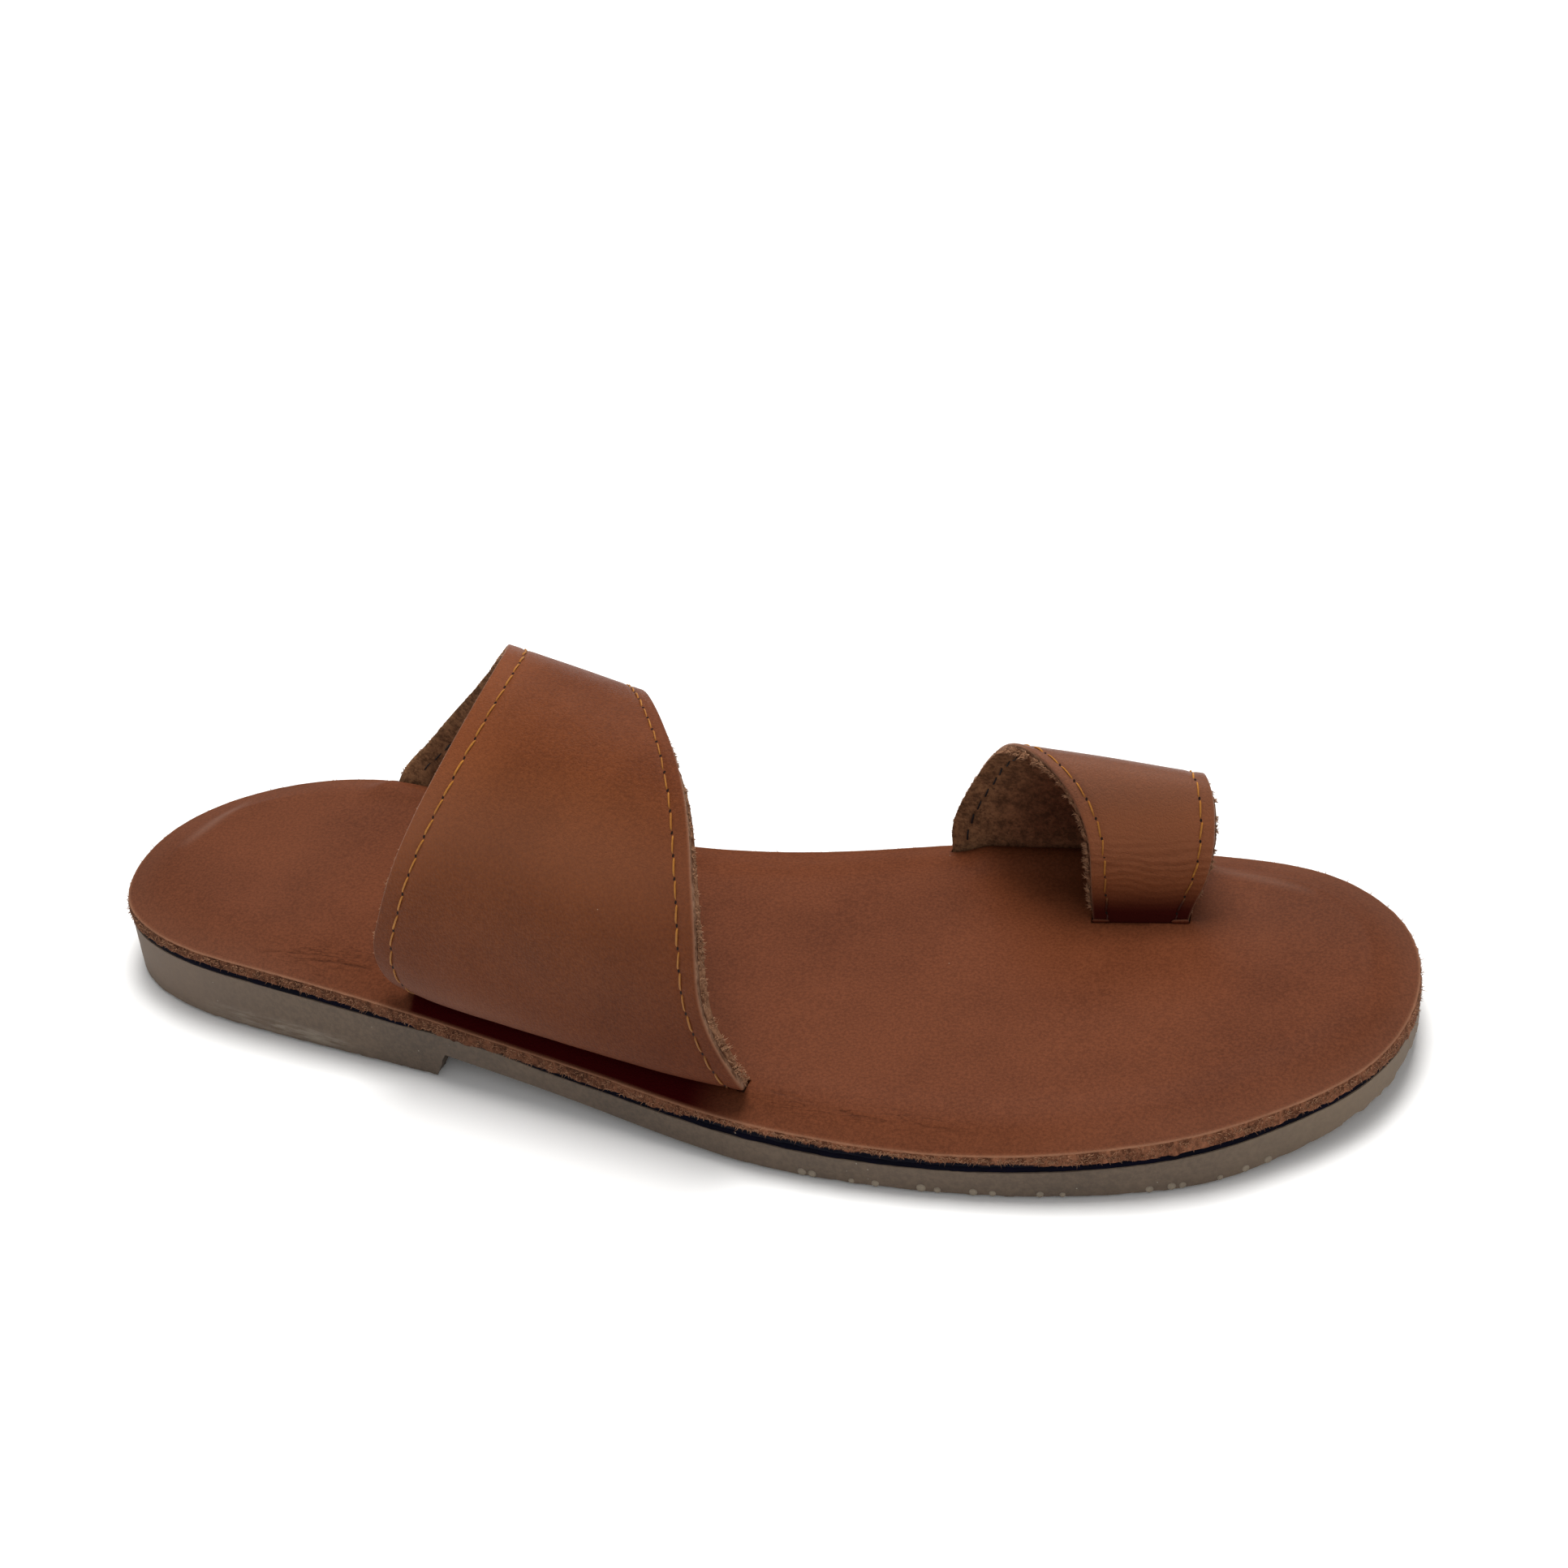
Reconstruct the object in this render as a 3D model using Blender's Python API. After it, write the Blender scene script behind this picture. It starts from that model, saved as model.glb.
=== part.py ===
"""Right-foot slide sandal: rubber outsole, dark midsole, padded leather footbed, instep strap, toe loop.

Frame: +X to the toe, +Y to the medial side, +Z up, origin on the floor under the middle of the outline.
Sizes are in millimetres and become metres when a mesh is made.
"""
import bpy
import bmesh
import numpy as np

MM = 0.001

# Driving sizes
LENGTH = 256.0
WIDTH = 96.6
GAP = 0.3                   # clearance between pieces that meet
RUBBER_ROUND = 0.3          # rounding of the outsole's lower edge
DARK_BAND = 1.5             # height of the dark line between rubber and leather
DARK_INSET = 0.7            # the dark layer lies back from the edge
LEATHER_EDGE = 2.5          # raw edge of the footbed leather
LEATHER_ROUND = 0.4         # rounding of its upper corner
PAD_RISE = 3.0              # padding under the leather lifts the middle
PAD_FULL = 13.0             # distance from the edge where the padding is at full height
FLAT_RIM = 12.0             # width of the rim band on the flat faces of the layers
STRAP_WALL = 2.4            # leather and lining together
LOOP_WALL = 2.2
SIDE_SLOT_LIFT = 1.6        # mouth of a slot near the edge, above the footbed's edge
TOE_SLOT_LIFT = 3.4         # mouth of the slot between the toes, on the padded middle
SLOT_DEPTH = 2.0            # a slot's cutter reaches this far below the strap's foot

# Heel breast and the hollow under the shank
BREAST_FOOT_X = -50.5
BREAST_TOP_X = -47.5
SHANK_END_X = 33.0
SHANK_RISE = 6.2
SHANK_FALL = 1.35           # power of the fall from the breast to the ball
SHANK_OPEN = 1.0            # the hollow's cutter reaches this far below the floor
BREAST_FLARE = 0.6          # and this far behind the breast there

# Grid sizes
OUTLINE_SAMPLES = 1600      # fine points from which the outline's stations are taken
HALF_STATIONS = 40          # stations along each side of the outline
PAD_RINGS = 5
SHANK_STEPS = 16
STRAP_STEPS = 44
STRAP_COLUMNS = 7
SLOT_STEPS = 7              # strap steps that a slot follows
SHARP_ANGLE = 0.6           # radians: an edge that bends more is drawn sharp

# Outline of the sole, heel to toe on the lateral side and back on the medial side: name, x, y
OUTLINE = (
    ("heel_back", -128.0, 3.2),
    ("heel_corner_lateral", -123.4, -11.7),
    ("heel_side_lateral", -111.0, -21.1),
    ("heel_lateral", -88.0, -27.4),
    ("waist_rear_lateral", -58.0, -32.4),
    ("waist_front_lateral", -20.0, -39.3),
    ("ball_rear_lateral", 14.0, -46.6),
    ("ball_lateral", 42.0, -48.4),
    ("toe_rear_lateral", 78.0, -43.8),
    ("toe_quarter_lateral", 97.0, -36.6),
    ("toe_side_lateral", 109.0, -28.0),
    ("toe_corner_lateral", 121.8, -14.2),
    ("toe_tip", 128.0, 7.2),
    ("toe_corner_medial", 121.9, 30.6),
    ("toe_side_medial", 106.0, 43.2),
    ("toe_rear_medial", 84.0, 47.0),
    ("joint_medial", 58.0, 48.2),
    ("arch_front_medial", 32.0, 43.4),
    ("arch_medial", 12.0, 37.2),
    ("waist_medial", -14.0, 32.0),
    ("arch_rear_medial", -52.0, 33.8),
    ("heel_medial", -88.0, 38.8),
    ("heel_side_medial", -112.0, 31.2),
    ("heel_corner_medial", -124.9, 17.4),
)

# Side profile of the outsole: name, x, underside before the shank is hollowed, top of the rubber
PROFILE = (
    ("heel_back", -128.0, 0.0, 12.3),
    ("heel_front", -90.0, 0.0, 12.3),
    ("breast_rear", -66.0, 0.0, 11.4),
    ("shank", -36.0, 0.0, 9.2),
    ("arch", -10.0, 0.0, 7.6),
    ("ball_rear", 20.0, 0.0, 6.2),
    ("ball", 48.0, 0.0, 5.8),
    ("toe_start", 76.0, 0.0, 6.5),
    ("toe_lift", 98.0, 0.0, 7.6),
    ("toe_rise", 114.0, 1.4, 8.4),
    ("toe_tip", 128.0, 3.4, 9.3),
)

# Outer face of the instep strap, one row for each fold: name, rear edge x y z, front edge x y z.
# A height of None is worked out: the foot stands on the midsole, the mouth is at the footbed's surface.
INSTEP_STRAP = (
    ("lateral_foot", (-54.5, -25.0, None), (14.0, -40.4, None)),
    ("lateral_mouth", (-54.5, -25.0, None), (14.0, -40.4, None)),
    ("lateral_fold", (-56.0, -29.0, 17.6), (14.4, -43.1, 14.6)),
    ("lateral_bulge", (-59.6, -30.7, 23.0), (13.4, -44.6, 20.6)),
    ("lateral_wall", (-58.6, -29.8, 33.0), (9.5, -43.3, 31.0)),
    ("lateral_rise", (-54.8, -27.4, 43.8), (7.8, -39.6, 43.0)),
    ("lateral_shoulder", (-49.6, -22.6, 54.9), (6.4, -33.6, 53.2)),
    ("lateral_top", (-44.8, -14.8, 63.9), (3.2, -23.7, 61.8)),
    ("crest", (-42.0, -1.8, 69.4), (-3.2, -10.8, 65.6)),
    ("medial_top", (-43.0, 11.2, 68.8), (-12.4, 5.2, 64.4)),
    ("medial_shoulder", (-50.0, 24.8, 60.0), (-20.5, 18.7, 56.3)),
    ("medial_rise", (-59.8, 32.8, 46.8), (-24.5, 26.2, 43.5)),
    ("medial_wall", (-70.4, 36.2, 34.2), (-25.5, 29.4, 30.0)),
    ("medial_bulge", (-79.0, 37.2, 24.2), (-25.0, 30.2, 20.0)),
    ("medial_mouth", (-83.6, 35.8, None), (-24.0, 29.6, None)),
    ("medial_foot", (-83.6, 35.8, None), (-24.0, 29.6, None)),
)

# Outer face of the toe loop, from the slot between the toes to the medial slot
TOE_LOOP = (
    ("toe_foot", (66.0, 18.1, None), (84.0, 19.8, None)),
    ("toe_mouth", (66.0, 18.1, None), (84.0, 19.8, None)),
    ("toe_wall", (65.8, 18.3, 23.0), (87.0, 21.0, 22.6)),
    ("toe_rise", (64.7, 19.9, 33.3), (88.5, 23.4, 33.6)),
    ("toe_top", (60.0, 22.9, 41.4), (87.6, 26.5, 39.2)),
    ("crest", (53.3, 27.7, 44.9), (86.2, 30.0, 40.3)),
    ("medial_top", (46.9, 33.8, 41.8), (84.6, 35.0, 38.0)),
    ("medial_rise", (41.4, 38.8, 33.0), (82.5, 40.0, 31.0)),
    ("medial_wall", (36.7, 40.8, 23.5), (81.0, 42.8, 22.0)),
    ("medial_mouth", (33.4, 40.8, None), (80.5, 43.4, None)),
    ("medial_foot", (33.4, 40.8, None), (80.5, 43.4, None)),
)

# Finishes: base colour, roughness
RUBBER = ("taupe_rubber", (0.125, 0.105, 0.085), 0.75)
DARK = ("dark_rubber", (0.004, 0.004, 0.010), 0.6)
COGNAC = ("cognac_leather", (0.165, 0.058, 0.028), 0.42)


def spline(points, closed):
    """A smooth cubic through the points, as a function of a share from 0 to 1 of its chord length."""
    points = np.asarray(points, float)
    if closed:
        points = np.vstack([points, points[:1]])
    step = np.linalg.norm(np.diff(points, axis=0), axis=1)
    knots = np.concatenate([[0.0], np.cumsum(step)])
    count = len(points)
    matrix = np.zeros((count, count))
    target = np.zeros_like(points)
    pull = np.diff(points, axis=0) / step[:, None]
    for i in range(1, count - 1):
        matrix[i, i - 1:i + 2] = step[i], 2.0 * (step[i - 1] + step[i]), step[i - 1]
        target[i] = 3.0 * (step[i] * pull[i - 1] + step[i - 1] * pull[i])
    if closed:
        matrix[0, [0, 1, -2]] = 2.0 * (step[-1] + step[0]), step[-1], step[0]
        target[0] = 3.0 * (step[0] * pull[-1] + step[-1] * pull[0])
        matrix[-1, [0, -1]] = 1.0, -1.0
    else:
        matrix[0, :2] = 2.0, 1.0
        target[0] = 3.0 * pull[0]
        matrix[-1, -2:] = 1.0, 2.0
        target[-1] = 3.0 * pull[-1]
    slope = np.linalg.solve(matrix, target)

    def at(share):
        length = np.clip(np.asarray(share, float), 0.0, 1.0) * knots[-1]
        i = np.clip(np.searchsorted(knots, length, side="right") - 1, 0, count - 2)
        span = step[i][:, None]
        t = ((length - knots[i]) / step[i])[:, None]
        near = points[i] * (1 + 2 * t) * (1 - t) ** 2 + slope[i] * span * t * (1 - t) ** 2
        far = points[i + 1] * t ** 2 * (3 - 2 * t) - slope[i + 1] * span * t ** 2 * (1 - t)
        return near + far

    return at


def profile(x, column):
    """Height of the outsole at x, eased between the rows of the side profile."""
    xs = np.array([row[1] for row in PROFILE])
    zs = np.array([row[column] for row in PROFILE])
    slope = np.gradient(zs, xs)
    x = np.clip(x, xs[0], xs[-1])
    i = np.clip(np.searchsorted(xs, x, side="right") - 1, 0, len(xs) - 2)
    span = xs[i + 1] - xs[i]
    t = (x - xs[i]) / span
    near = zs[i] * (1 + 2 * t) * (1 - t) ** 2 + slope[i] * span * t * (1 - t) ** 2
    return near + zs[i + 1] * t ** 2 * (3 - 2 * t) - slope[i + 1] * span * t ** 2 * (1 - t)


def underside(x):
    return np.maximum(profile(x, 2), 0.0)


def rubber_top(x):
    return profile(x, 3)


def midsole_under(x):
    return rubber_top(x) + GAP


def midsole_top(x):
    return rubber_top(x) + DARK_BAND - GAP


def footbed_under(x):
    return rubber_top(x) + DARK_BAND


def leather_edge(x):
    return footbed_under(x) + LEATHER_EDGE


def pad_height(inset):
    """Lift of the padded leather at a distance in from the edge."""
    t = np.clip(inset / PAD_FULL, 0.0, 1.0)
    return PAD_RISE * t * (2.0 - t)


def outline_stations():
    """The outline as a ring from the heel back along the lateral side, with its inward normals."""
    dense = spline([row[1:] for row in OUTLINE], True)(np.linspace(0.0, 1.0, OUTLINE_SAMPLES + 1))[:-1]
    low, high = dense.min(axis=0), dense.max(axis=0)
    dense = (dense - (low + high) / 2.0) * np.array([LENGTH, WIDTH]) / (high - low)
    dense = np.roll(dense, -int(dense[:, 0].argmin()), axis=0)
    toe = int(dense[:, 0].argmax())
    halves = dense[:toe + 1], np.vstack([dense[toe:], dense[:1]])
    ring = []
    for half in halves:
        walk = np.concatenate([[0.0], np.cumsum(np.linalg.norm(np.diff(half, axis=0), axis=1))])
        share = np.linspace(0.0, walk[-1], HALF_STATIONS + 1)[:-1]
        ring.append(np.column_stack([np.interp(share, walk, half[:, k]) for k in (0, 1)]))
    ring = np.vstack(ring)
    along = np.roll(ring, -1, axis=0) - np.roll(ring, 1, axis=0)
    along /= np.linalg.norm(along, axis=1)[:, None]
    return ring, np.column_stack([-along[:, 1], along[:, 0]])


def mesh_object(name, vertices, faces, finish):
    mesh = bpy.data.meshes.new(name)
    mesh.from_pydata([tuple(v) for v in np.asarray(vertices) * MM], [], faces)
    mesh.validate()
    shell = bmesh.new()
    shell.from_mesh(mesh)
    bmesh.ops.recalc_face_normals(shell, faces=shell.faces)
    shell.to_mesh(mesh)
    shell.free()
    mesh.shade_smooth()
    mesh.set_sharp_from_angle(angle=SHARP_ANGLE)
    thing = bpy.data.objects.new(name, mesh)
    bpy.context.scene.collection.objects.link(thing)
    if finish:
        mesh.materials.append(finish)
    return thing


def layer(name, rings, finish):
    """A closed layer of the sole. Each ring is an inset, a share of the way to the middle line and a height
    function, in order from the middle of the underside round the edge to the middle of the top."""
    outline, inward = outline_stations()
    total = len(outline)
    half = total // 2
    vertices = []
    loops = []
    for inset, share, height in rings:
        ring = outline + inward * inset
        middle = (ring + np.roll(ring[::-1], 1, axis=0)) / 2.0
        ring = ring + (middle - ring) * share
        ring = np.column_stack([ring, height(ring[:, 0])])
        if share < 1.0:
            loops.append([len(vertices) + i for i in range(total)])
            vertices.extend(ring)
        else:
            start = len(vertices) - 1
            loops.append([start + min(max(min(i, total - i), 1), half - 1) for i in range(total)])
            vertices.extend(ring[1:half])
    faces = []
    for inner, outer in zip(loops, loops[1:]):
        for i in range(total):
            corners = inner[i], inner[(i + 1) % total], outer[(i + 1) % total], outer[i]
            faces.append(tuple(dict.fromkeys(corners)))
    return mesh_object(name, vertices, faces, finish)


def strap_rows(rows, lifts):
    """Fill in the worked-out heights: the first and last two rows are a foot and a mouth."""
    filled = []
    for i, (_, *edges) in enumerate(rows):
        lift = lifts[0] if i < 2 else lifts[1]
        points = []
        for x, y, z in edges:
            if z is None:
                is_foot = i in (0, len(rows) - 1)
                z = footbed_under(x) if is_foot else leather_edge(x) + lift
            points.append((x, y, float(z)))
        filled.append(np.array(points))
    return np.array(filled)


def strap_faces(rows, shares, columns):
    """Points and outward normals of a strap's outer face, ruled between its rear and front edges."""
    flat = spline(rows.reshape(len(rows), -1), False)(shares)
    rear, front = flat[:, None, :3], flat[:, None, 3:]
    across = np.asarray(columns)[None, :, None]
    face = rear + (front - rear) * across
    along = np.gradient(face, axis=0)
    normal = np.cross(np.broadcast_to(front - rear, face.shape), along)
    normal /= np.linalg.norm(normal, axis=2)[:, :, None]
    return face, normal


def strap_shares():
    """Steps along a strap, closer together near its folded ends."""
    even = np.linspace(0.0, 1.0, STRAP_STEPS)
    return (even + (1.0 - np.cos(np.pi * even)) / 2.0) / 2.0


def slab(name, outer, inner, finish):
    """A closed solid between two matching grids of points."""
    steps, columns = outer.shape[:2]
    vertices = np.vstack([outer.reshape(-1, 3), inner.reshape(-1, 3)])
    shift = steps * columns

    def number(i, j):
        return i * columns + j

    faces = []
    for i in range(steps - 1):
        for j in range(columns - 1):
            quad = number(i, j), number(i + 1, j), number(i + 1, j + 1), number(i, j + 1)
            faces.append(quad)
            faces.append(tuple(v + shift for v in reversed(quad)))
    rim = [number(i, 0) for i in range(steps)]
    rim += [number(steps - 1, j) for j in range(1, columns)]
    rim += [number(i, columns - 1) for i in range(steps - 2, -1, -1)]
    rim += [number(0, j) for j in range(columns - 2, 0, -1)]
    for a, b in zip(rim, rim[1:] + rim[:1]):
        faces.append((a, b, b + shift, a + shift))
    return mesh_object(name, vertices, faces, finish)


def strap(name, rows, wall, finish):
    """The strap's wall: the outer face and its lining, a wall's thickness inside it."""
    face, normal = strap_faces(rows, strap_shares(), np.linspace(0.0, 1.0, STRAP_COLUMNS))
    lining = face - normal * wall
    for grid in (face, lining):
        for foot in (0, -1):
            grid[foot, :, 2] = footbed_under(grid[foot, :, 0])
    return slab(name, face, lining, finish)


def slot_cutter(name, rows, wall, foot):
    """What a strap's leg clears as it passes through the footbed, a gap wider than the leg all round.
    The foot is the strap's first or last step, 0 or -1."""
    margin = GAP / np.linalg.norm(rows[foot, 1] - rows[foot, 0])
    columns = np.linspace(-margin, 1.0 + margin, STRAP_COLUMNS)
    face, normal = strap_faces(rows, strap_shares(), columns)
    leg = slice(0, SLOT_STEPS) if foot == 0 else slice(-SLOT_STEPS, None)
    outer = (face + normal * GAP)[leg]
    inner = (face - normal * (wall + GAP))[leg]
    for grid in (outer, inner):
        grid[foot, :, 2] -= SLOT_DEPTH
    cutter = slab(name, outer, inner, None)
    cutter.hide_render = True
    cutter.display_type = "WIRE"
    return cutter


def cut(target, cutter):
    modifier = target.modifiers.new(cutter.name, "BOOLEAN")
    modifier.operation = "DIFFERENCE"
    modifier.solver = "EXACT"
    modifier.object = cutter


def shank_cutter():
    """The hollow between the heel breast and the ball, as a bar across the sole."""
    arch = [(BREAST_FOOT_X - BREAST_FLARE, -SHANK_OPEN), (BREAST_FOOT_X, 0.0)]
    for t in np.linspace(0.0, 1.0, SHANK_STEPS + 1):
        x = BREAST_TOP_X + (SHANK_END_X - BREAST_TOP_X) * t
        arch.append((x, SHANK_RISE * (1.0 - t) ** SHANK_FALL))
    arch.append((SHANK_END_X, -SHANK_OPEN))
    sides = [[(x, y, z) for x, z in arch] for y in (-WIDTH, WIDTH)]
    count = len(arch)
    faces = [tuple(range(count)), tuple(range(2 * count - 1, count - 1, -1))]
    faces += [(i, (i + 1) % count, (i + 1) % count + count, i + count) for i in range(count)]
    cutter = mesh_object("shank_cutter", np.vstack(sides), faces, None)
    cutter.hide_render = True
    cutter.display_type = "WIRE"
    return cutter


def finish_material(name, colour, roughness):
    material = bpy.data.materials.new(name)
    material.use_nodes = True
    shader = material.node_tree.nodes["Principled BSDF"]
    shader.inputs["Base Color"].default_value = (*colour, 1.0)
    shader.inputs["Roughness"].default_value = roughness
    shader.inputs["Metallic"].default_value = 0.0
    return material


def build_outsole(finish):
    rings = (
        (FLAT_RIM, 1.0, underside),
        (FLAT_RIM, 0.0, underside),
        (RUBBER_ROUND, 0.0, underside),
        (0.0, 0.0, lambda x: underside(x) + RUBBER_ROUND),
        (0.0, 0.0, rubber_top),
        (FLAT_RIM, 0.0, rubber_top),
        (FLAT_RIM, 1.0, rubber_top),
    )
    sole = layer("outsole", rings, finish)
    cut(sole, shank_cutter())


def build_midsole(finish):
    rings = (
        (FLAT_RIM, 1.0, midsole_under),
        (FLAT_RIM, 0.0, midsole_under),
        (DARK_INSET, 0.0, midsole_under),
        (DARK_INSET, 0.0, midsole_top),
        (FLAT_RIM, 0.0, midsole_top),
        (FLAT_RIM, 1.0, midsole_top),
    )
    layer("midsole", rings, finish)


def build_footbed(finish, cutters):
    def padded(inset):
        return lambda x: leather_edge(x) + pad_height(inset)

    rings = [
        (FLAT_RIM, 1.0, footbed_under),
        (FLAT_RIM, 0.0, footbed_under),
        (0.0, 0.0, footbed_under),
        (0.0, 0.0, lambda x: leather_edge(x) - LEATHER_ROUND),
        (LEATHER_ROUND, 0.0, padded(0.0)),
    ]
    insets = PAD_FULL * np.arange(1, PAD_RINGS + 1) / PAD_RINGS
    rings += [(inset, 0.0, padded(inset)) for inset in insets]
    rings.append((PAD_FULL, 0.5, padded(PAD_FULL)))
    rings.append((PAD_FULL, 1.0, padded(PAD_FULL)))
    bed = layer("footbed", rings, finish)
    for cutter in cutters:
        cut(bed, cutter)


def main():
    for thing in list(bpy.data.objects):
        bpy.data.objects.remove(thing)
    rubber = finish_material(*RUBBER)
    dark = finish_material(*DARK)
    cognac = finish_material(*COGNAC)
    straps = (
        ("instep_strap", strap_rows(INSTEP_STRAP, (SIDE_SLOT_LIFT, SIDE_SLOT_LIFT)), STRAP_WALL),
        ("toe_loop", strap_rows(TOE_LOOP, (TOE_SLOT_LIFT, SIDE_SLOT_LIFT)), LOOP_WALL),
    )
    cutters = []
    for name, rows, wall in straps:
        strap(name, rows, wall, cognac)
        cutters.append(slot_cutter(name + "_first_slot", rows, wall, 0))
        cutters.append(slot_cutter(name + "_last_slot", rows, wall, -1))
    build_outsole(rubber)
    build_midsole(dark)
    build_footbed(cognac, cutters)


main()
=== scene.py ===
"""Looks of a right-foot slide sandal: leather, suede, thread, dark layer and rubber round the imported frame.

Sizes are in millimetres in the shoe's own frame: +X to the toe, +Y to the medial side, +Z up from the floor.
They become metres when a piece is made. In the materials, sizes are in metres and scales in cells per metre.
"""
import itertools
import math
from collections import namedtuple

import bpy
import numpy as np
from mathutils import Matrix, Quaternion, Vector
from mathutils.kdtree import KDTree


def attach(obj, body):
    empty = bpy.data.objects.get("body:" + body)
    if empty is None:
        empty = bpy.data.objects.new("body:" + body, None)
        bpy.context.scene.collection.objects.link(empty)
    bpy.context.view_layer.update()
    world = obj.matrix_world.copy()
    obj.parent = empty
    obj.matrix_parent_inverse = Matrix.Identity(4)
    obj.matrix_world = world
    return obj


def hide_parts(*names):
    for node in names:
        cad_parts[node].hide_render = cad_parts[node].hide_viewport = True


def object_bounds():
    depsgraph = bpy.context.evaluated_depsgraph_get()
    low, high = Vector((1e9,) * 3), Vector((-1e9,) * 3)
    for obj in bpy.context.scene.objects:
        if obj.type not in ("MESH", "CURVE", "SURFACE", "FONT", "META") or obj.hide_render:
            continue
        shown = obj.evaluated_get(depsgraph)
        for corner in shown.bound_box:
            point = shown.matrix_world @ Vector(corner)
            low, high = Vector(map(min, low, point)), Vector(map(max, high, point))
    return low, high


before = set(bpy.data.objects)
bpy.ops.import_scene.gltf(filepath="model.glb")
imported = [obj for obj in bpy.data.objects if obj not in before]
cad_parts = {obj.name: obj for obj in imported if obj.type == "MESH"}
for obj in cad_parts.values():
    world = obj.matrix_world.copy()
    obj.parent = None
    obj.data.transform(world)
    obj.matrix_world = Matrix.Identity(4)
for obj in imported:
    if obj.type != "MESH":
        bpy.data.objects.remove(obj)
cad_low, cad_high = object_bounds()

MM = 0.001
LENGTH = (cad_high.x - cad_low.x) / MM
WIDTH = (cad_high.y - cad_low.y) / MM
UP = np.array([0.0, 0.0, 1.0])

# Camera, solved on the outline of the sole in the photograph
CAMERA_AT = (159.1, -407.8, 338.1)
CAMERA_AZIMUTH = 19.66
CAMERA_ELEVATION = 33.5
CAMERA_ROLL = -6.0
FOCAL_PIXELS = 3500.0
PHOTO_PIXELS = 1932.0
SENSOR = 36.0

# Lights: name, place, aim, size, power, colour, whether it leaves a highlight
WARM = (1.0, 0.99, 0.97)
LIGHTS = (
    ("key_above", (-60.0, 280.0, 1400.0), (0.0, 0.0, 0.0), 650.0, 19.0, WARM, False),
    ("sheen_behind", (-60.0, 600.0, 900.0), (0.0, 0.0, 0.0), 650.0, 3.6, WARM, True),
    ("fill_front", (450.0, -850.0, 650.0), (0.0, 0.0, 20.0), 800.0, 2.6, (1.0, 1.0, 1.0), False),
)
SURROUNDINGS = 0.31         # strength of the even light from all round
FLOOR_REACH = 6000.0
FLOOR_SIDES = 96
FLOOR_DROP = 0.02           # the floor lies this far under the sole

# Heights of the sole's layers
DARK_BAND = 1.5
DARK_INSET = 0.2
DARK_BULGE = 0.1
LEATHER_EDGE = 2.5
LEATHER_ROUND = 0.5
PAD_RISE = 3.0
PAD_FULL = 13.0
FLAT_RIM = 7.0
TREAD = 0.45                # height of the studs under the sole
SIDE_FOOT = 0.25            # how far over the tread's base the outsole's side starts
SIDE_TOP = 0.12             # how far under its rim it ends
SIDE_ROUND = 0.35           # how far in from the side the rubber's upper and lower edges turn

# Heel breast and the hollow under the shank
BREAST_FOOT_X = -50.5
BREAST_TOP_X = -47.5
SHANK_END_X = 33.0
SHANK_RISE = 6.2
SHANK_FALL = 1.35

# Outline of the sole, heel to toe on the lateral side and back on the medial side: name, x, y
OUTLINE = (
    ("heel_back", -128.0, 3.2),
    ("heel_corner_lateral", -123.4, -11.7),
    ("heel_side_lateral", -111.0, -21.1),
    ("heel_lateral", -88.0, -27.4),
    ("waist_rear_lateral", -58.0, -32.4),
    ("waist_front_lateral", -20.0, -39.3),
    ("ball_rear_lateral", 14.0, -46.6),
    ("ball_lateral", 42.0, -48.4),
    ("toe_rear_lateral", 78.0, -43.8),
    ("toe_quarter_lateral", 97.0, -36.6),
    ("toe_side_lateral", 109.0, -28.0),
    ("toe_corner_lateral", 121.8, -14.2),
    ("toe_tip", 128.0, 7.2),
    ("toe_corner_medial", 121.9, 30.6),
    ("toe_side_medial", 106.0, 43.2),
    ("toe_rear_medial", 84.0, 47.0),
    ("joint_medial", 58.0, 48.2),
    ("arch_front_medial", 32.0, 43.4),
    ("arch_medial", 12.0, 37.2),
    ("waist_medial", -14.0, 32.0),
    ("arch_rear_medial", -52.0, 33.8),
    ("heel_medial", -88.0, 38.8),
    ("heel_side_medial", -112.0, 31.2),
    ("heel_corner_medial", -124.9, 17.4),
)

# Side profile of the outsole: name, x, underside before the shank is hollowed, top of the rubber
PROFILE = (
    ("heel_back", -128.0, 0.0, 12.3),
    ("heel_front", -90.0, 0.0, 12.3),
    ("breast_rear", -66.0, 0.0, 11.4),
    ("shank", -36.0, 0.0, 9.2),
    ("arch", -10.0, 0.0, 7.6),
    ("ball_rear", 20.0, 0.0, 6.2),
    ("ball", 48.0, 0.0, 5.8),
    ("toe_start", 76.0, 0.0, 6.5),
    ("toe_lift", 98.0, 0.0, 7.6),
    ("toe_rise", 114.0, 1.4, 8.4),
    ("toe_tip", 128.0, 3.4, 9.3),
)
X_COLUMN, UNDER_COLUMN, TOP_COLUMN = 1, 2, 3

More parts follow.
